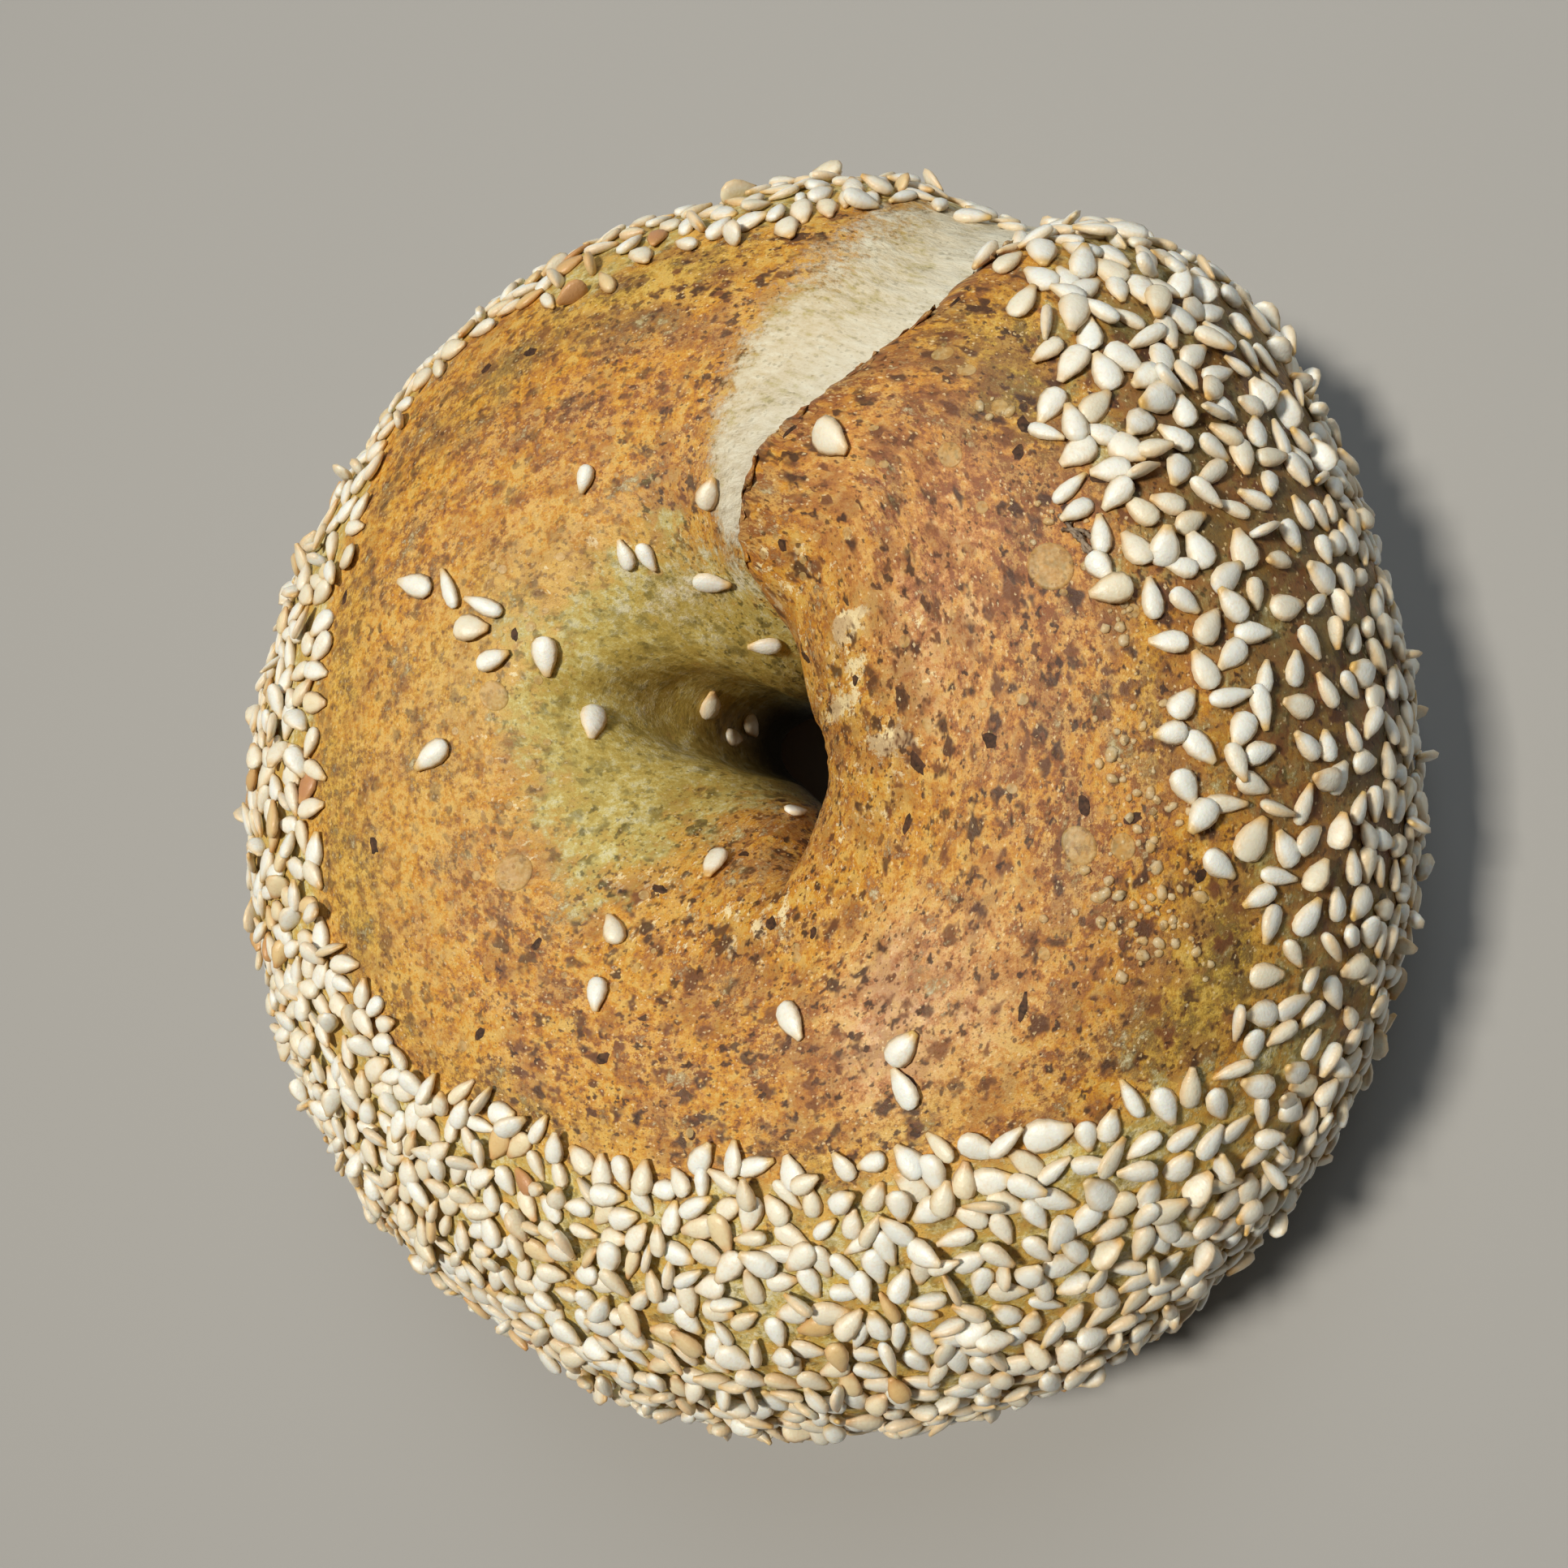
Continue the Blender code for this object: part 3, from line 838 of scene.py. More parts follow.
def crust_material(colours):
    """Toasted crust with flecks, pale lace and streaks, and unbrowned folds."""
    material, tree, shader = new_material("crust", Specular_IOR_Level=0.3)
    rope = attribute(tree, "rope", "Vector")
    along = stretched(rope, 1.0, 1.0, 0.22)
    mottle, cloud, grain = (noise_value(rope, *sizes) for sizes in (MOTTLE, CLOUD, GRAIN))
    weave = noise_value(along, *WEAVE)
    strands = noise_value(stretched(rope, *STRAND_STRETCH), *STRANDS)
    base = browned(tree, mottle, cloud, grain, weave, along, rope, colours)

    folds = weighed(attribute(tree, "olive"), (mottle, 1.5), (cloud, 1.6), (grain, 0.6))
    olive = smooth_step(folds, 0.2, 0.84)
    pallor = weighed(0.52, (mottle, 1.2), (cloud, 1.8), (grain, 1.4), (weave, 1.0))
    yellow = colour_ramp(pallor, ((0.05, colours.olive), *YELLOW_STOPS))
    base = blend(olive, base, yellow)
    # The east side's crust between the seeds goes dark olive-brown, partly as painted shade.
    base = blend(attribute(tree, "east_crust_and_shade"), base, EAST_CRUST_AND_SHADE)

    edge = weighed(attribute(tree, "cream"), (cloud, 1.5), (grain, 1.1), (mottle, 0.5))
    cream = smooth_step(edge, 0.16, 0.8)
    streaky = weighed(0.5, (strands, 2.2), (mottle, 1.4), (grain, 0.9))
    pale = colour_ramp(streaky, ((0.0, CREAM_DARK), (0.4, colours.cream), (0.95, CREAM_LIGHT)))
    pale = layer(pale, CHALK, attribute(tree, "chalk"), 0.55)
    base = blend(cream, base, pale)

    base = flecked(tree, base, rope, cream, maths("MAXIMUM", olive, cream))
    # Painted shade darkens the deep walls of the throat, which are also made fully rough there.
    painted_throat_shade = attribute(tree, "painted_throat_shade")
    feed(shader.inputs["Base Color"], blend(painted_throat_shade, base, PAINTED_THROAT_SHADE))
    gloss = smooth_step(cloud, 0.35, 0.65, 0.42, 0.6)
    feed(shader.inputs["Roughness"], maths("MAXIMUM", gloss, painted_throat_shade))
    high = weighed(0.5, (grain, 0.5), (cloud, 1.5), (weave, 0.9))
    add_bump(shader, 0.4, 0.0002, maths("ADD", high, product(strands, cream, 2.6)))
    return material


def seed_material(name, stops, tip):
    """Satin hull with a darker tip; each seed has its own shade."""
    material, tree, shader = new_material(
        name, Roughness=HULL_ROUGHNESS, Subsurface_Weight=0.25, Subsurface_Radius=(1.0, 0.72, 0.42),
        Subsurface_Scale=0.0006)
    own = attribute(tree, "own", "Vector")
    grain = use_group(tree, "grain", Vector=own, Scale=1.5, Fineness=3.0).outputs["Value"]
    base = colour_ramp(attribute(tree, "shade"), stops)
    base = blend(smooth_step(grain, 0.45, 0.7, 0.0, 0.22), base, tip)
    # The hull's edges are tinted tan, partly the hull's own colour and partly painted shade where the edges
    # turn from the top.
    base = layer(base, tip, smooth_step(attribute(tree, "rim"), 0.4, 1.0), 0.5)
    reach = weighed(attribute(tree, "along"), (grain, 0.25))
    point = product(smooth_step(reach, 0.04, 0.33, 1.0, 0.0), attribute(tree, "tip"))
    feed(shader.inputs["Base Color"], blend(point, base, tip))
    add_bump(shader, 0.55, 0.00012, grain)
    return material


# ---------------------------------------------------------------- crust


def raised(points, normal, around, section, height):
    """Points of the skin with the low relief of the crust on them."""
    relief = crust_relief(points, around, section, hole_radius(points), height)
    relief = relief * ramp(points[..., 2], 0.0, 0.004)
    return points + normal * relief[..., None]


def crust_masks(points, around, section, radius):
    """Masks that the crust's material reads, by name."""
    wobble = fields(points, WOBBLE_NOISE)
    level = wrap(section)
    below_top = band_top(around) - level
    shaded_east_side = one_side(around, *SHADED_EAST_SIDE)
    under = window(section, *UNDERSIDE_SPAN)
    seeded = seeded_share(around, section, wobble)
    sandy = seeded * (1.0 - shaded_east_side) * (1.0 - under)
    lip = beyond_lap(around, radius)
    singed = hump(lip - SINGED_LIP[0], SINGED_LIP[1]) * (lip > 0.0) * window(section, *SINGED_SPAN)
    # Browning, where the east side's zone and a little more on its seeded crust are partly painted shade.
    toast_and_shade = 0.5 + zone_sum(around, section, TOAST_AND_SHADE_ZONES) + fields(points, TOAST_NOISE)
    toast_and_shade = toast_and_shade - 0.22 * sandy + 0.05 * seeded * shaded_east_side + 0.5 * singed + 0.34 * under
    pale = 0.26 * sandy + zone_sum(around, section, PALE_ZONES)
    clipped = {
        "toast_and_shade": toast_and_shade - 0.25 * ramp(level, 150, 176) - 0.25 * (level < -90.0),
        "olive": fold_olive(around, section, wobble) + 0.36 * sandy + 0.3 * seeded * (1.0 - under),
        # Darker crust between the seeds on the east side, partly painted shade.
        "east_crust_and_shade": 0.86 * ramp(below_top, 2.0, 20.0) * seeded * shaded_east_side * (1.0 - fields(points, EAST_CRUST_AND_SHADE_NOISE)),
        "bold": 1.0 - 0.42 * one_side(around, *PLAIN_SIDE) - 0.35 * sandy + 0.25 * wobble,
        "moss": (zone_sum(around, section, MOSS_ZONES) + 0.1 * hump(below_top, 8.0)) * (1.0 - under),
        "rosy": zone_sum(around, section, ROSY_ZONES) * (1.0 + 0.5 * wobble),
    }
    masks = {name: np.clip(values, 0.0, 1.0) for name, values in clipped.items()}
    masks["stretch"] = 0.1 + 0.46 * window(section, *STRETCHED_SPAN)
    masks["stretch"] += zone_sum(around, section, STREAK_ZONES)
    masks["cream"] = np.maximum(lap_cream(around, section, wobble), pale)
    # Painted shade in the hole's throat.
    masks["painted_throat_shade"] = 0.97 * window(section, *PAINTED_THROAT_SHADE_SPAN)
    masks["chalk"] = ramp(lip, *CHALK_SPAN) * (lip < 0.0)
    return masks


def make_crust(settings):
    """The dough's skin as a fine mesh with its masks."""
    around, section = np.meshgrid(crowded_angles(CRUST_COLUMNS, COLUMN_CROWDS),
                                  crowded_angles(CRUST_ROWS, ROW_CROWDS), indexing="ij")
    points, normal, along, _, _ = skin_frame(around, section)
    radius = hole_radius(points)
    shift = ragged_lip(points, around, section, radius)
    shaped = raised(points, normal, around, section, settings.unevenness) + along * shift[..., None]
    piece = mesh_object("crust", shaped.reshape(-1, 3), grid_faces(CRUST_COLUMNS, CRUST_ROWS),
                        crust_material(settings))
    store(piece, "rope", rope_coordinates(around, section, radius).reshape(-1, 3))
    for name, values in crust_masks(points, around, section, radius).items():
        store(piece, name, values.reshape(-1))
    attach(piece, BODY)
    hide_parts(NODE)


# ---------------------------------------------------------------- small things baked into the crust

# Thin dry blisters: angle round the ring, section angle, radius in millimetres.
BLISTERS = (
    (13.8, 82.6, 1.5), (339.5, 79.5, 1.15), (340.8, 72.9, 0.8), (43.2, 81.6, 0.55), (47.5, 81.6, 0.7),
    (36.8, 80.7, 0.5), (211.5, 112.2, 1.5), (169.5, 114.7, 1.2), (33.0, 90.1, 0.9),
)
# Small random ones: their number and the limits of the same values.
SMALL_BLISTERS = 90
SMALL_BLISTER_LIMITS = ((100.0, 410.0), (70.0, 126.0), (0.2, 0.46))
BLISTER_SIDES = 28
# Dark chips: angle round the ring, section angle, heading, length and width in millimetres.
CHIPS = (
    (345.2, 108.1, 52, 2.0, 1.2), (350.8, 94.4, 66, 1.3, 1.1), (332.8, 108.7, 356, 1.6, 0.7),
    (117.8, 73.2, 318, 1.6, 1.1), (124.5, 69.2, 198, 1.4, 0.9), (33.2, 78.8, 0, 1.6, 0.9),
    (29.8, 81.0, 322, 1.3, 0.8), (23.0, 71.4, 256, 1.5, 1.0), (52.0, 99.7, 280, 2.0, 0.6),
    (43.0, 120.0, 300, 1.5, 0.8), (6.8, 123.4, 334, 1.1, 0.9), (29.0, 139.0, 26, 2.2, 0.7),
    (286.8, 120.9, 104, 1.4, 1.0), (298.8, 114.3, 70, 1.1, 0.8), (227.5, 107.8, 100, 1.4, 0.8),
    (230.0, 91.0, 100, 1.2, 0.8), (251.5, 97.2, 44, 1.5, 1.0), (269.2, 88.8, 70, 1.0, 0.8),
    (243.5, 128.4, 186, 1.5, 0.9), (266.0, 142.4, 164, 1.0, 0.8), (195.0, 90.1, 174, 1.7, 0.9),
    (159.2, 76.4, 190, 1.5, 0.8), (154.8, 115.0, 206, 1.2, 0.7), (320.0, 78.8, 16, 2.0, 0.6),
    (344.0, 79.8, 18, 1.7, 0.9), (302.8, 84.1, 84, 1.5, 0.8), (53.8, 71.4, 302, 1.4, 1.0),
    (344.0, 72.0, 302, 1.4, 0.7), (340.2, 59.8, 342, 1.2, 0.7),
)
# Random ones on the base: their number and the limits of the same values.
CHIPS_BELOW = 26
CHIP_LIMITS = ((0.0, 360.0), (-85.0, -130.0), (0.0, 360.0), (0.8, 1.8), (0.6, 1.0))
CHIP_SIDES = 11
# Profile of a blister and of a chip: share of the radius, height in radii.
BLISTER_PROFILE = ((0.3, 0.085), (0.62, 0.078), (0.82, 0.085), (0.93, 0.09), (1.0, 0.045), (1.05, -0.08))
CHIP_PROFILE = ((0.45, 0.04), (0.8, 0.02), (1.0, -0.02), (1.06, -0.1))
# Groups of clear beads: angle round the ring, section angle, number, spread in millimetres.
BEAD_GROUPS = (
    (353.2, 72.6, 18, 1.5), (336.8, 65.1, 14, 1.2), (333.5, 62.3, 14, 1.1), (5.0, 74.2, 9, 0.8),
    (347.2, 72.0, 14, 1.3), (332.0, 71.1, 9, 1.1), (36.0, 81.3, 6, 0.6), (335.5, 74.0, 8, 1.1),
    (343.5, 70.1, 12, 1.3), (19.0, 80.0, 8, 1.1),
)
# Crumbs along the lip: their number, section angles and degrees before the lap's edge.
LIP_CRUMBS = 420
CRUMB_LEVELS = (34.0, 118.0)
CRUMB_TURN = 0.25
# Least and largest radius in millimetres, and a power that is higher where small ones prevail.
BEAD_RADII = (0.12, 0.4, 1.8)
CRUMB_RADII = (0.1, 0.34, 1.5)
BEAD_ROUGHNESS = 0.2
CRUMB_ROUGHNESS = 0.28
BEAD_SIDES = 8
BEAD_RINGS = 4
# A tangle of dry fibres: angle round the ring, section angle and height in millimetres along each.
FIBRES = (
    ((20.0, 79.2, 0.1), (18.4, 78.4, 0.35), (16.6, 77.9, 0.2), (14.9, 76.6, 0.3), (12.8, 75.2, 0.05)),
    ((19.0, 77.6, 0.0), (17.8, 78.3, 0.25), (16.2, 77.0, 0.4), (14.6, 77.2, 0.2), (13.6, 75.9, 0.1)),
    ((18.0, 79.6, 0.05), (17.3, 77.8, 0.3), (17.0, 76.4, 0.1), (15.6, 75.6, 0.25), (14.4, 74.6, 0.0)),
)
FIBRE_RADIUS = 0.00015
FIBRE_SIDES = 6
FIBRE_KNOTS = 25
# Skin of each kind of scrap: two colours, roughness, and how much of the crust it covers.
SKINS = {
    "blister": ((0.82, 0.6, 0.27), (0.66, 0.4, 0.12), 0.38, 0.46),
    "bead": ((0.9, 0.74, 0.45), (0.8, 0.55, 0.23), 0.25, 0.58),
    "chip": ((0.1, 0.045, 0.024), (0.035, 0.019, 0.012), 0.7, 0.88),
    "crumb": ((0.62, 0.48, 0.26), (0.26, 0.115, 0.04), 0.6, 1.0),
    "fibre": ((0.36, 0.27, 0.18), (0.1, 0.065, 0.045), 0.6, 1.0),
}
SKIN_SPECKS = (0.14, 0.075, 0.035)
SCRAP_RANDOM = 5


def spot(angle, level, across, up, height):
    """Points and normals of the crust near a place, for shifts in metres along and up the section."""
    middle, beside, above = dough_surface(
        angle + np.array([0.0, FRAME_TURN, 0.0]), level + np.array([0.0, 0.0, FRAME_TURN]))
    around = angle + across * FRAME_TURN / np.linalg.norm(beside - middle)
    section = level + up * FRAME_TURN / np.linalg.norm(above - middle)
    points, normal, _, _, _ = skin_frame(around, section)
    return raised(points, normal, around, section, height), normal


def dome_faces(sides, rings):
    """Triangles of a closed form with a point at both ends and rings between."""
    faces = []
    last = 1 + sides * rings
    for side in range(sides):
        after = (side + 1) % sides
        faces.append((0, 1 + side, 1 + after))
        faces.append((last, last - sides + after, last - sides + side))
        for ring in range(rings - 1):
            low = 1 + ring * sides
            high = low + sides
            faces.append((low + side, high + side, low + after))
            faces.append((low + after, high + side, high + after))
    return np.array(faces)


def patch_mesh(place, size, profile, outline, thickness, height):
    """Points and faces of a thin patch on the crust: place with heading, half sizes, outline shares."""
    angle, level, heading = place
    sides = len(outline)
    turn = 2.0 * math.pi * np.arange(sides) / sides
    shares = np.array([share for share, _ in profile])[:, None]
    along = (size[0] * shares * outline * np.cos(turn)).ravel()
    over = (size[1] * shares * outline * np.sin(turn)).ravel()
    aim = math.radians(heading)
    across = np.concatenate([[0.0], along * math.cos(aim) - over * math.sin(aim), [0.0]])
    up = np.concatenate([[0.0], along * math.sin(aim) + over * math.cos(aim), [0.0]])
    lift = np.concatenate([[profile[0][1]], np.repeat([rise for _, rise in profile], sides), [-0.3]])
    points, normal = spot(angle, level, across, up, height)
    return points + normal * (lift * thickness)[:, None], dome_faces(sides, len(profile))


def bead_mesh(centre, normal, radius, draw, roughness):
    """Points and faces of one bead or crumb that sits half in the crust."""
    points = [(0.0, 0.0, 1.0)]
    for ring in range(1, BEAD_RINGS + 1):
        bow = math.pi * ring / (BEAD_RINGS + 1)
        for side in range(BEAD_SIDES):
            turn = 2.0 * math.pi * side / BEAD_SIDES
            grow = 1.0 + roughness * draw.uniform(-1.0, 1.0)
            points.append((grow * math.sin(bow) * math.cos(turn), grow * math.sin(bow) * math.sin(turn),
                           math.cos(bow)))
    points.append((0.0, 0.0, -1.0))
    stretch = 1.0 + 2.0 * roughness * draw.random()
    upright = np.array(Vector(normal).to_track_quat("Z", "Y").to_matrix())
    spin = np.array(Matrix.Rotation(draw.uniform(0.0, 6.3), 3, "Z"))
    placed = np.array(points) * (radius * stretch, radius, 0.6 * radius) @ spin.T @ upright.T
    return placed + centre + normal * 0.2 * radius, dome_faces(BEAD_SIDES, BEAD_RINGS)


def fibre_mesh(line, height):
    """Points and faces of one fibre through places above the crust."""
    knots = []
    for angle, level, lift in line:
        point, normal = spot(angle, level, np.zeros(1), np.zeros(1), height)
        knots.append(point[0] + normal[0] * lift * MM)
    knots = np.array(knots)
    where = np.linspace(0.0, len(knots) - 1.0, FIBRE_KNOTS)
    path = np.stack([np.interp(where, np.arange(len(knots)), knots[:, axis]) for axis in range(3)], axis=-1)
    path[1:-1] = 0.25 * path[:-2] + 0.5 * path[1:-1] + 0.25 * path[2:]
    points = [path[0]]
    for index in range(1, len(path) - 1):
        ahead = Vector(path[index + 1] - path[index - 1]).normalized()
        turned = np.array(ahead.to_track_quat("Z", "Y").to_matrix())
        radius = FIBRE_RADIUS * (0.7 + 0.5 * math.sin(1.7 * index) ** 2)
        for side in range(FIBRE_SIDES):
            turn = 2.0 * math.pi * side / FIBRE_SIDES
            points.append(path[index] + turned @ (radius * math.cos(turn), radius * math.sin(turn), 0.0))
    points.append(path[-1])
    return np.array(points), dome_faces(FIBRE_SIDES, len(path) - 2)[:, ::-1]


def joined(parts):
    """Points and faces of several meshes as one."""
    points, faces, start = [], [], 0
    for some, corners in parts:
        points.append(some)
        faces.append(corners + start)
        start += len(some)
    return np.concatenate(points), np.concatenate(faces)


def scrap_material(name, first, second, roughness, cover):
    """Dry scraps in two mingled colours, which the crust may show through."""
    material, tree, shader = new_material(name, Roughness=roughness, Alpha=cover, Specular_IOR_Level=0.25)
    place = scaled(put(tree, "ShaderNodeTexCoord").outputs["Object"], 1.0 / MM)
    grain = use_group(tree, "grain", Vector=place, Scale=1.3, Fineness=2.6).outputs["Value"]
    base = blend(smooth_step(grain, 0.38, 0.62), first, second)
    specks = use_group(tree, "speckle", Vector=place, Scale=1.5, Reach=0.5, Softness=0.25, Warp=0.8,
                       Share=0.5).outputs["Mask"]
    feed(shader.inputs["Base Color"], layer(base, SKIN_SPECKS, specks, 0.5))
    add_bump(shader, 0.4, 0.00012, grain)
    return material


def drawn_radius(draw, least, largest, power):
    """A random radius in metres, from limits in millimetres."""
    return (least + (largest - least) * draw.random() ** power) * MM


def random_rows(draw, number, limits):
    """Rows of random values, each between its limits."""
    return [[draw.uniform(*pair) for pair in limits] for _ in range(number)]


def blister_parts(draw, low):
    """The blisters of the table and small random ones."""
    small = random_rows(draw, SMALL_BLISTERS, SMALL_BLISTER_LIMITS)
    for angle, level, radius in (*BLISTERS, *small):
        size = radius * MM
        wave = np.array([1.0 + 0.05 * math.sin(0.45 * side + angle) for side in range(BLISTER_SIDES)])
        yield patch_mesh((angle, level, 0.0), (size, size), BLISTER_PROFILE, wave, size, low)


def chip_parts(draw, low):
    """The chips of the table and random ones on the base."""
    below = random_rows(draw, CHIPS_BELOW, CHIP_LIMITS)
    for angle, level, heading, length, width in (*CHIPS, *below):
        size = (0.5 * length * MM, 0.5 * width * MM)
        jagged = np.array([draw.uniform(0.72, 1.22) for _ in range(CHIP_SIDES)])
        yield patch_mesh((angle, level, heading), size, CHIP_PROFILE, jagged, size[1], low)


def bead_parts(draw, low):
    """Groups of clear beads."""
    for angle, level, number, spread in BEAD_GROUPS:
        across, up = (np.array([draw.gauss(0.0, spread * MM) for _ in range(number)]) for _ in range(2))
        for centre, upright in zip(*spot(angle, level, across, up, low)):
            yield bead_mesh(centre, upright, drawn_radius(draw, *BEAD_RADII), draw, BEAD_ROUGHNESS)


def crumb_parts(draw):
    """Torn crumbs along the lip of the lap."""
    levels = np.array(random_rows(draw, LIP_CRUMBS, (CRUMB_LEVELS,)))[:, 0]
    at_lip = np.full(LIP_CRUMBS, LAP_ANGLE - CRUMB_TURN)
    points, normals, alongs, _, _ = skin_frame(at_lip, levels)
    shifts = ragged_lip(points, at_lip, levels, hole_radius(points))
    for centre, upright, along, shift in zip(points, normals, alongs, shifts):
        radius = drawn_radius(draw, *CRUMB_RADII)
        centre = centre + along * (shift + draw.uniform(-0.35, 0.15) * MM)
        yield bead_mesh(centre, upright, radius, draw, CRUMB_ROUGHNESS)


def make_scraps(settings):
    """Blisters, beads, chips, crumbs and fibres on the crust, one piece for each kind."""
    draw = random.Random(SCRAP_RANDOM)
    low = settings.unevenness
    parts = {
        "blister": list(blister_parts(draw, low)), "chip": list(chip_parts(draw, low)),
        "bead": list(bead_parts(draw, low)), "crumb": list(crumb_parts(draw)),
        "fibre": [fibre_mesh(line, low) for line in FIBRES],
    }
    for kind, skin in SKINS.items():
        piece = mesh_object(kind + "s", *joined(parts[kind]), scrap_material(kind + "_skin", *skin))
        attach(piece, BODY)


# ---------------------------------------------------------------- seeds

# Outline of a seed from its tip: share of the length, share of the width, share of the thickness.
SEED_PROFILE = (
    (0.012, 0.27, 0.36), (0.085, 0.37, 0.46), (0.2, 0.54, 0.62), (0.38, 0.83, 0.88), (0.62, 1.0, 1.0),
    (0.845, 0.87, 0.88), (0.962, 0.5, 0.54),
)
SEED_SIDES = 8
SEED_FLATNESS = 0.62
SEED_RANDOM = 21
HULL_ROUGHNESS = 0.42
# Three discs that stand for a seed: place in lengths from its middle, radius in widths.
DISC_PLACES = np.array([-0.28, 0.04, 0.28])
DISC_SHARES = np.array([0.24, 0.44, 0.46])
HEADINGS_TRIED = 7
STACKED_OVERLAP = 0.001
# Size of the cells in which neighbours are looked up, lowest middle and lowest point of a seed.
CELL = 0.004
LOWEST_PLACE = 0.0015
LOWEST_POINT = 0.0002
# The side with fewer golden seeds, partly as painted light that makes its seeds paler: its middle, its half
# width, and the share of the kinds used.
PALER_AND_PAINTED_LIGHT_SIDE = (8.0, 66.0, 0.74)
# How the seeds of the band lie: shares of the usual room, lift in thicknesses, spread of the tilt
# and of the roll in radians, and which are slim. Pairs are limits, or lying and stacked seeds.
SEED_ROOM = (0.86, 1.2)
STACKED_LIFT = (0.35, 0.75)
TILT_SPREADS = (0.1, 0.24)
ROLL_SPREADS = (0.16, 0.28)
ON_EDGE_SHARE = 0.09
ON_EDGE_ROLL = (0.8, 1.5)
SLIM_SHARE = 0.16
SLIM_WIDTHS = (0.62, 0.82)
WIDTH_SPREAD = 0.08
SIZE_SPREAD = 0.075
THICKNESS_SPREAD = 0.12
BEND = 0.14

# Lone seeds on the bare top: angle round the ring, section angle, heading of the tip, size, breadth.
LONE_SEEDS = (
    (45.8, 99.1, 166, 1.25, 1.12), (118.0, 102.5, 50, 0.82, 0.95), (80.2, 112.5, 234, 0.92, 1.0),
    (120.2, 119.0, 266, 1.0, 0.85), (115.0, 121.5, 90, 0.92, 0.85), (96.8, 131.5, 154, 1.2, 0.88),
    (153.8, 91.9, 286, 1.5, 0.85), (151.8, 98.5, 234, 1.28, 0.62), (151.8, 106.6, 280, 1.2, 0.64),
    (156.8, 106.6, 110, 1.14, 1.15), (161.5, 113.1, 126, 1.16, 0.92), (157.0, 122.4, 32, 1.34, 1.0),
    (173.0, 134.3, 350, 1.2, 1.0), (182.5, 103.1, 298, 1.16, 0.86), (256.5, 137.7, 276, 1.05, 0.95),
    (240.2, 117.5, 138, 1.02, 1.0), (245.5, 106.3, 290, 1.2, 1.0), (289.2, 101.3, 288, 1.1, 0.94),
    (304.8, 88.8, 8, 1.08, 1.0), (301.8, 84.4, 84, 1.1, 0.95), (311.5, 63.9, 324, 1.15, 1.0),
    (157.0, 168.2, 218, 1.0, 1.0), (158.8, 185.7, 64, 1.0, 1.0), (162.2, 180.4, 98, 1.0, 1.0),
    (95.0, 152.0, 330, 1.1, 0.9), (265.0, 167.3, 76, 1.0, 1.0),
)

# Places where the band differs: angle and half width, section angle and half width, extra room
# between the seeds, extra size of the seeds.
BAND_PLACES = (
    (40, 12, 20, 13, 1.0, 0.0), (67, 7, 32, 26, 1.0, 0.0), (50, 20, 48, 30, 0.14, 0.05),
    (12, 16, 42, 9, 0.2, 0.0), (352, 36, 30, 50, 0.34, -0.08), (176, 34, 50, 50, 0.16, 0.1),
    (262, 50, 40, 50, 0.03, -0.07), (122, 32, 46, 60, 0.42, 0.02), (98, 16, 46, 60, 0.26, 0.0),
)


def place_chance(points, around, section):
    """Chance that a place on the skin carries a seed of the band."""
    level = wrap(section)
    top = band_top(around)
    thinned = 1.0 - 0.75 * ramp(level, top - 10.0, top)
    return thinned * (level < top) * (points[:, 2] > LOWEST_PLACE)


def band_place(around, section):
    """Share of the usual room between the seeds at a place, and of their usual size."""
    level = wrap(section)
    room = np.ones_like(around)
    size = np.ones_like(around)
    for angle, angle_width, middle, level_width, more, larger in BAND_PLACES:
        near = np.exp(-(wrap(around - angle) / angle_width) ** 4 - ((level - middle) / level_width) ** 4)
        room = room + more * near
        size = size + larger * near
    return room, size


def cell_of(point):
    """The cell that holds a point."""
    return tuple(int(math.floor(value / CELL)) for value in point)


class SeedBed:
    """Seeds laid so far, with the discs that stand for their outlines."""

    def __init__(self, settings):
        self.settings = settings
        self.cells = {}
        self.middles = []
        self.discs = []

    def near(self, point):
        """Indices of the seeds round a point."""
        x, y, z = cell_of(point)
        keys = ((x + dx, y + dy, z + dz) for dx, dy, dz in itertools.product((-1, 0, 1), repeat=3))
        return [index for key in keys for index in self.cells.get(key, ())]

    def crowd(self, point, direction, others):
        """How much a seed laid at a point would overlap its neighbours, and its discs."""
        reach = DISC_SHARES * self.settings.width
        places = point + direction * (DISC_PLACES * self.settings.length)[:, None]
        if not others:
            return 0.0, places
        there = np.array([self.discs[index] for index in others]).reshape(-1, 3)
        gaps = np.linalg.norm(places[:, None, :] - there[None, :, :], axis=2)
        room = reach[:, None] + np.tile(reach, len(others))[None, :]
        return float(np.maximum(room - gaps, 0.0).sum()), places

    def lay(self, point, places):
        """Remember a seed."""
        self.cells.setdefault(cell_of(point), []).append(len(self.middles))
        self.middles.append(point)
        self.discs.append(places)


def headed(along, over, heading):
    """Unit direction on the skin for a heading in radians."""
    return along * math.cos(heading) + over * math.sin(heading)


def lay_lone_seeds(bed, draw, unevenness):
    """Lay the seeds of the bare top, in the form that lay_seeds gives."""
    around, section, headings, sizes, breadths = np.array(LONE_SEEDS).T
    points, normals, alongs, overs, _ = skin_frame(around, section)
    points = raised(points, normals, around, section, unevenness)
    laid = []
    for index, point in enumerate(points):
        direction = headed(alongs[index], overs[index], math.radians(headings[index]))
        bed.lay(point, bed.crowd(point, direction, [])[1])
        laid.append((point, normals[index], direction, 0.0, 0.0, draw.uniform(-0.2, 0.2), breadths[index],
                     sizes[index], 0.7 * draw.random()))
    return laid


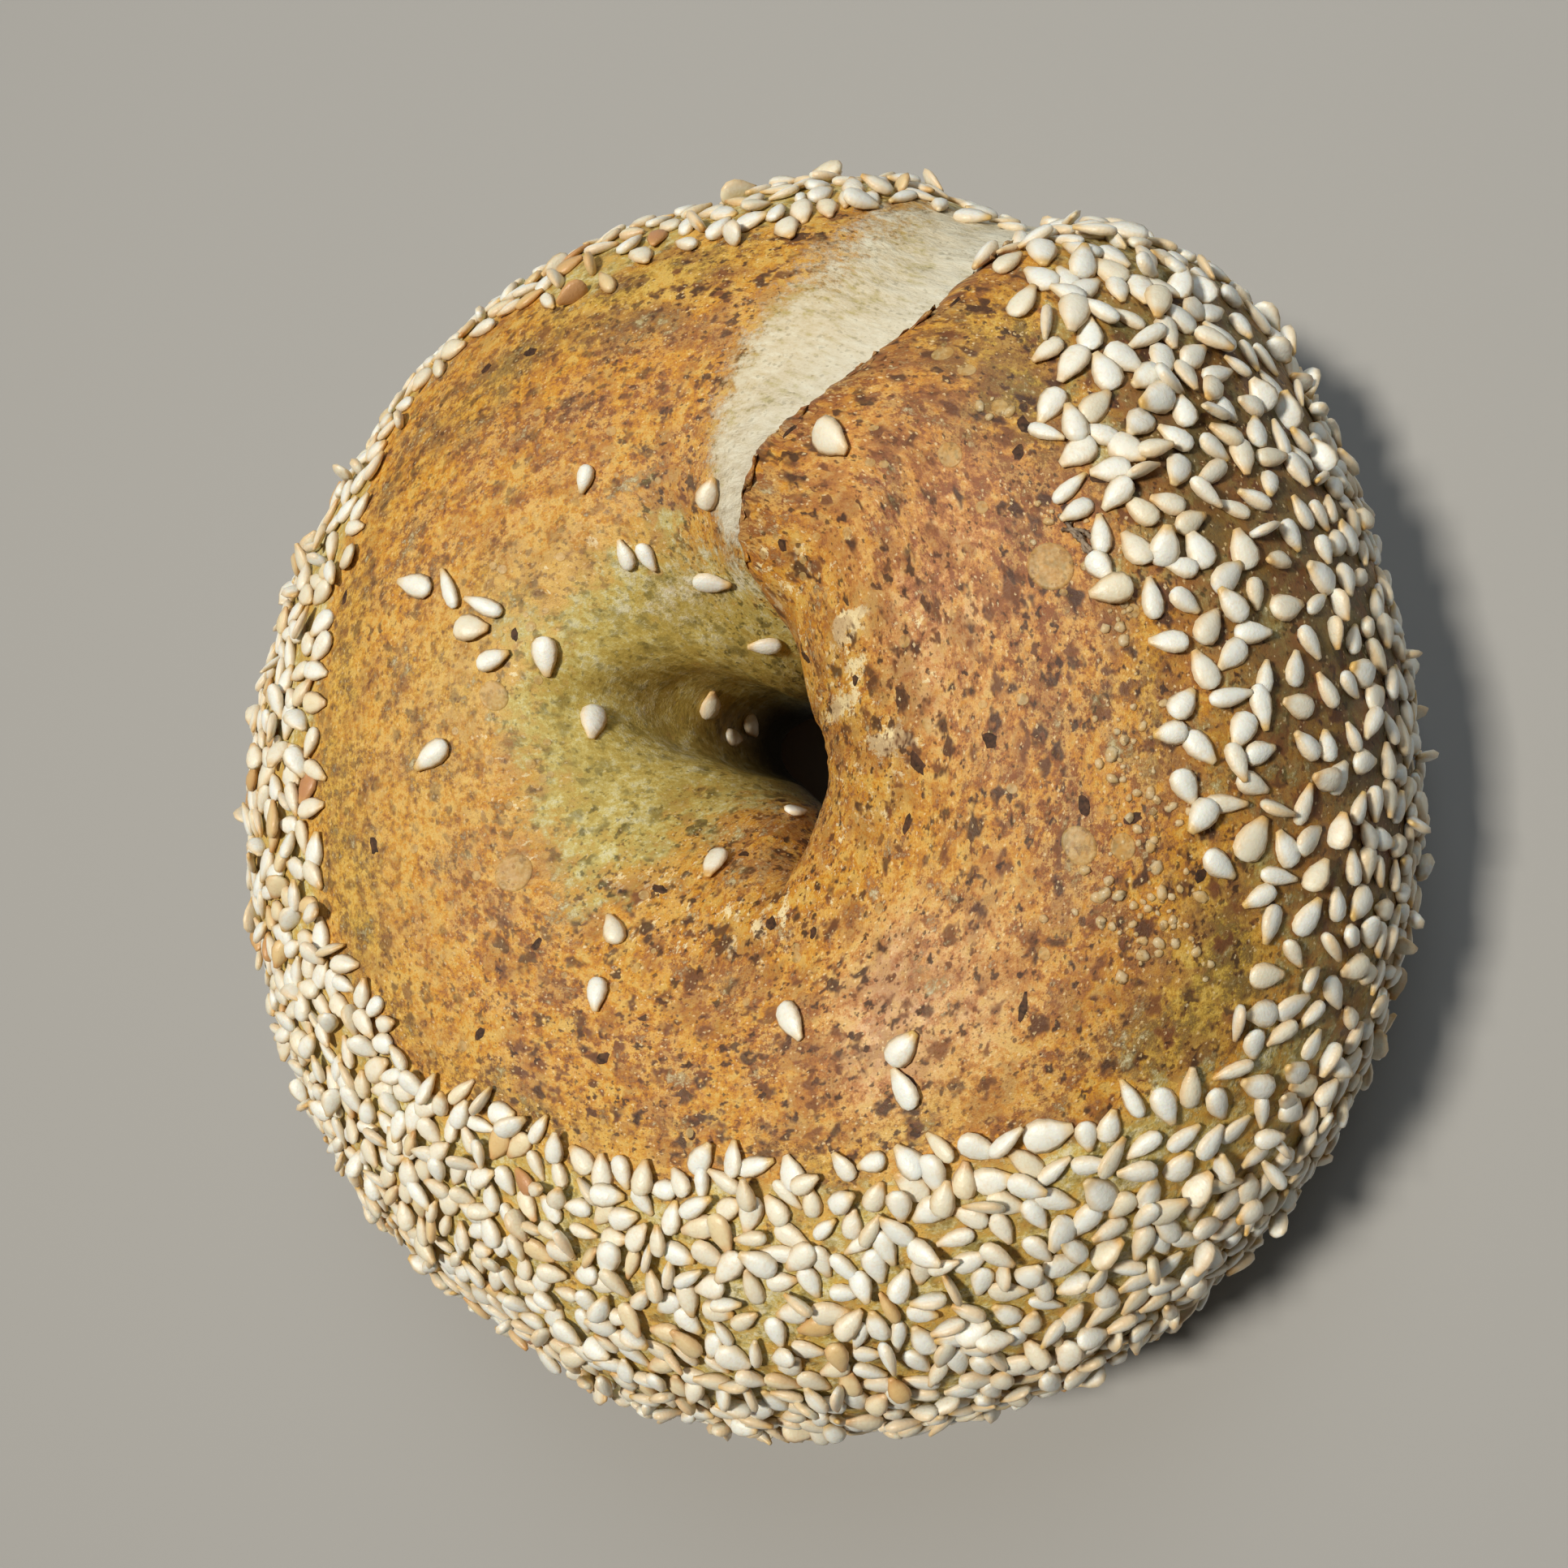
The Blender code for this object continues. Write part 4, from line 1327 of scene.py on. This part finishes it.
def band_candidates(settings, unevenness):
    """Random places in the band, as (point, normal, along, over, angle, room, size)."""
    numbers = np.random.default_rng(SEED_RANDOM)
    around = numbers.uniform(0.0, 360.0, settings.tries)
    section = numbers.uniform(-80.0, 90.0, settings.tries)
    points, normals, alongs, overs, areas = skin_frame(around, section)
    chances = place_chance(points, around, section) * areas / np.percentile(areas, 90)
    chosen = np.nonzero(numbers.random(len(chances)) < chances)[0]
    points, normals, alongs, overs, around, section = (
        values[chosen] for values in (points, normals, alongs, overs, around, section))
    points = raised(points, normals, around, section, unevenness)
    return zip(points, normals, alongs, overs, around, *band_place(around, section))


def lay_seeds(settings, unevenness):
    """Places of all seeds, as (point, normal, tip direction, lift, tilt, roll, slimness, size, kind)."""
    draw = random.Random(SEED_RANDOM)
    bed = SeedBed(settings)
    laid = lay_lone_seeds(bed, draw, unevenness)
    pale_angle, pale_width, pale_share = PALER_AND_PAINTED_LIGHT_SIDE
    for point, normal, along, over, angle, room, size in band_candidates(settings, unevenness):
        others = bed.near(point)
        room = settings.spacing * room * draw.uniform(*SEED_ROOM)
        if any(np.linalg.norm(point - bed.middles[other]) < room for other in others):
            continue
        tried = []
        for _ in range(HEADINGS_TRIED):
            direction = headed(along, over, draw.uniform(0.0, 2.0 * math.pi))
            tried.append((*bed.crowd(point, direction, others), direction))
        overlap, places, direction = min(tried, key=lambda result: result[0])
        stacked = overlap > STACKED_OVERLAP
        lift = draw.uniform(*STACKED_LIFT) if stacked else 0.0
        tilt = draw.gauss(0.0, TILT_SPREADS[stacked])
        on_edge = draw.random() < ON_EDGE_SHARE
        roll = draw.uniform(*ON_EDGE_ROLL) if on_edge else draw.gauss(0.0, ROLL_SPREADS[stacked])
        slim = draw.random() < SLIM_SHARE
        slimness = draw.uniform(*SLIM_WIDTHS) if slim else draw.gauss(1.0, WIDTH_SPREAD)
        bed.lay(point, places)
        # Fewer golden seeds on the east side, partly the seeds' own colour and partly painted light.
        kind = draw.random() * (pale_share if abs(wrap(angle - pale_angle)) < pale_width else 1.0)
        laid.append((point, normal, direction, lift, tilt, roll, slimness, size, kind))
    return laid


def seed_template():
    """Points and faces of a seed of unit size with its tip at -X, and marks along and round it."""
    points = [(-0.5, 0.0, 0.0)]
    marks = [(0.0, 0.0)]
    for share, width, height in SEED_PROFILE:
        for side in range(SEED_SIDES):
            turn = 2.0 * math.pi * side / SEED_SIDES
            rise = math.copysign(abs(math.sin(turn)) ** SEED_FLATNESS, math.sin(turn))
            points.append((share - 0.5, 0.5 * width * math.cos(turn), 0.5 * height * rise))
            # The mark round the seed is 1 at its edges, where the hull is tinted tan, partly as painted
            # shade.
            marks.append((share, abs(math.cos(turn))))
    points.append((0.5, 0.0, 0.0))
    marks.append((1.0, 0.0))
    faces = dome_faces(SEED_SIDES, len(SEED_PROFILE))[:, ::-1]
    return np.array(points), faces, np.array(marks)


def seed_points(template, place, settings, draw):
    """Points of one seed where it lies."""
    point, normal, direction, lift, tilt, roll, slimness, size, _ = place
    size = size * draw.gauss(1.0, SIZE_SPREAD)
    scale = (settings.length * size * (1.06 if slimness < 0.85 else 1.0),
             settings.width * size * slimness, settings.thickness * draw.gauss(1.0, THICKNESS_SPREAD))
    bent = template.copy()
    bent[:, 1] += draw.uniform(-BEND, BEND) * bent[:, 0] * np.abs(bent[:, 0]) * 2.0
    upright = Vector(normal)
    tip = -Vector(direction)
    across = upright.cross(tip).normalized()
    turn = Matrix((tip, across, upright)).transposed()
    turn = turn @ Matrix.Rotation(tilt, 3, "Y") @ Matrix.Rotation(roll, 3, "X")
    half = 0.5 * (scale[2] * abs(math.cos(roll)) + scale[1] * abs(math.sin(roll)))
    height = half * 0.55 + lift * settings.thickness
    placed = (bent * scale) @ np.array(turn).T
    return placed + point + np.array(normal) * height


def build_seeds(name, places, settings, material, seed):
    """One piece that holds many seeds."""
    draw = random.Random(seed)
    template, faces, marks = seed_template()
    points, own, shades, tips = [], [], [], []
    for place in places:
        placed = seed_points(template, place, settings, draw)
        offset = np.array([draw.uniform(0.0, 100.0) for _ in range(3)])
        shade = draw.random()
        darkness = draw.uniform(0.45, 1.0)
        if placed[:, 2].min() < LOWEST_POINT:
            continue
        points.append(placed)
        own.append(template * (3.2, 2.0, 1.0) + offset)
        shades.append(shade)
        tips.append(darkness)
    every = np.concatenate([faces + index * len(template) for index in range(len(points))])
    piece = mesh_object(name, np.concatenate(points), every, material)
    store(piece, "own", np.concatenate(own))
    store(piece, "along", np.tile(marks[:, 0], len(points)))
    store(piece, "rim", np.tile(marks[:, 1], len(points)))
    store(piece, "shade", np.repeat(shades, len(template)))
    store(piece, "tip", np.repeat(tips, len(template)))
    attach(piece, BODY)


def seed_kinds(settings):
    """Kinds of seed, as (name, share of all, shades of the hull, colour of the tip)."""
    return (
        ("ivory_seeds", 0.46, ((0.0, settings.ivory), (1.0, (0.85, 0.83, 0.73))), (0.68, 0.43, 0.13)),
        ("pale_seeds", 0.42, ((0.0, (0.86, 0.83, 0.71)), (0.6, (0.84, 0.78, 0.62)),
                              (1.0, (0.79, 0.72, 0.54))), (0.66, 0.39, 0.12)),
        ("golden_seeds", 0.12, ((0.0, (0.84, 0.76, 0.56)), (0.55, settings.golden),
                                (0.85, (0.72, 0.5, 0.22)), (1.0, (0.5, 0.23, 0.1))), (0.6, 0.32, 0.11)),
    )


def make_seeds(settings, unevenness):
    """All seeds, one piece for each kind."""
    laid = lay_seeds(settings, unevenness)
    start = 0.0
    for number, (name, share, stops, tip) in enumerate(seed_kinds(settings)):
        places = [place for place in laid if start <= place[-1] < start + share]
        start += share
        build_seeds(name, places, settings, seed_material(name + "_hull", stops, tip), SEED_RANDOM + number)


# ---------------------------------------------------------------- studio

FLOOR_SIZE = 2.0
FLOOR_DROP = -0.00005
FLOOR_CLOUD = (0.46, 0.45, 0.43)
SKY = (0.86, 0.92, 1.0)
# Lights: name, azimuth, elevation, distance, size, share of the main light's power, colour.
LIGHTS = (
    ("key", 181.0, 82.0, 0.9, 0.13, 1.0, (1.0, 0.95, 0.86)),
    ("fill", 66.0, 50.0, 0.9, 0.5, 0.27, (0.8, 0.9, 1.0)),
)
LIT_HEIGHT = 0.02


def make_floor(colour):
    """A plain pale floor."""
    material, tree, shader = new_material("floor", Roughness=0.85)
    cloud = put(tree, "ShaderNodeTexNoise", Scale=6.0, Detail=2.0)
    tone = smooth_step(cloud.outputs[0], 0.3, 0.7, 0.0, 0.04)
    feed(shader.inputs["Base Color"], blend(tone, colour, FLOOR_CLOUD))
    corners = FLOOR_SIZE * np.array([(-1.0, -1.0, 0.0), (1.0, -1.0, 0.0), (1.0, 1.0, 0.0), (-1.0, 1.0, 0.0)])
    floor = mesh_object("floor", corners, np.array([(0, 1, 2, 3)]), material)
    floor.location.z = FLOOR_DROP


def make_light(name, azimuth, elevation, distance, size, power, colour):
    """A soft square light that faces the ring."""
    lamp = bpy.data.lights.new(name, "AREA")
    lamp.shape = "SQUARE"
    lamp.size = size
    lamp.energy = power
    lamp.color = colour
    add_object(name, lamp).matrix_world = aimed(azimuth, elevation, distance, Vector((0.0, 0.0, LIT_HEIGHT)))


def aimed(azimuth, elevation, distance, target):
    """Matrix of a thing that looks at a target from a direction, with image up near +Y."""
    flat = math.cos(math.radians(elevation))
    back = Vector((
        flat * math.cos(math.radians(azimuth)), flat * math.sin(math.radians(azimuth)),
        math.sin(math.radians(elevation)),
    ))
    right = Vector((0.0, 1.0, 0.0)).cross(back).normalized()
    turn = Matrix((right, back.cross(right), back)).transposed().to_4x4()
    return Matrix.Translation(target + back * distance) @ turn


def make_camera():
    """The camera at the photograph's viewing angle."""
    data = bpy.data.cameras.new("camera")
    data.sensor_width = SENSOR_WIDTH
    data.lens = 0.5 * SENSOR_WIDTH / math.tan(math.radians(0.5 * CAMERA_FIELD))
    data.clip_start = 0.005
    camera = add_object("camera", data)
    camera.matrix_world = aimed(CAMERA_AZIMUTH, CAMERA_ELEVATION, CAMERA_DISTANCE, Vector(CAMERA_TARGET))
    bpy.context.scene.camera = camera


def make_world(strength):
    """Even light from all round."""
    world = bpy.data.worlds.new("studio")
    world.use_nodes = True
    background = world.node_tree.nodes["Background"]
    background.inputs["Color"].default_value = (*SKY, 1.0)
    background.inputs["Strength"].default_value = strength
    bpy.context.scene.world = world


# ---------------------------------------------------------------- operators


class BREADRING_OT_crust(Operator):
    """Build the crust."""

    bl_idname = "bread_ring.crust"
    bl_label = "Crust"

    def execute(self, context):
        build_speckle_group()
        build_grain_group()
        make_crust(context.scene.bread_ring.crust)
        return {"FINISHED"}


class BREADRING_OT_scraps(Operator):
    """Add the blisters, beads, chips, crumbs and fibres on the crust."""

    bl_idname = "bread_ring.scraps"
    bl_label = "Scraps"

    def execute(self, context):
        build_speckle_group()
        build_grain_group()
        make_scraps(context.scene.bread_ring.crust)
        return {"FINISHED"}


class BREADRING_OT_seeds(Operator):
    """Scatter the seeds."""

    bl_idname = "bread_ring.seeds"
    bl_label = "Seeds"

    def execute(self, context):
        build_grain_group()
        make_seeds(context.scene.bread_ring.seeds, context.scene.bread_ring.crust.unevenness)
        return {"FINISHED"}


class BREADRING_OT_studio(Operator):
    """Set up the floor, the lights and the camera."""

    bl_idname = "bread_ring.studio"
    bl_label = "Studio"

    def execute(self, context):
        settings = context.scene.bread_ring.studio
        make_floor(settings.floor)
        make_world(settings.fill)
        for name, azimuth, elevation, distance, size, share, colour in LIGHTS:
            make_light(name, azimuth, elevation, distance, size, share * settings.key_power, colour)
        make_camera()
        context.scene.view_settings.view_transform = "Standard"
        return {"FINISHED"}


class BREADRING_PT_panel(Panel):
    """Lists the steps and their settings."""

    bl_idname = "BREADRING_PT_panel"
    bl_label = "Bread Ring"
    bl_space_type = "VIEW_3D"
    bl_region_type = "UI"
    bl_category = "Bread Ring"

    def draw(self, context):
        settings = context.scene.bread_ring
        for operator, group in (
            (BREADRING_OT_crust, settings.crust),
            (BREADRING_OT_scraps, settings.crust),
            (BREADRING_OT_seeds, settings.seeds),
            (BREADRING_OT_studio, settings.studio),
        ):
            box = self.layout.box()
            box.operator(operator.bl_idname)
            for name in group.__annotations__:
                box.prop(group, name)


CLASSES = (
    CrustSettings, SeedSettings, StudioSettings, BreadRingSettings,
    BREADRING_OT_crust, BREADRING_OT_scraps, BREADRING_OT_seeds, BREADRING_OT_studio, BREADRING_PT_panel,
)


def register():
    for cls in CLASSES:
        bpy.utils.register_class(cls)
    bpy.types.Scene.bread_ring = PointerProperty(type=BreadRingSettings)


def unregister():
    del bpy.types.Scene.bread_ring
    for cls in reversed(CLASSES):
        bpy.utils.unregister_class(cls)


def main():
    register()
    bpy.ops.bread_ring.crust()
    bpy.ops.bread_ring.scraps()
    bpy.ops.bread_ring.seeds()
    bpy.ops.bread_ring.studio()


if __name__ == "__main__":
    main()
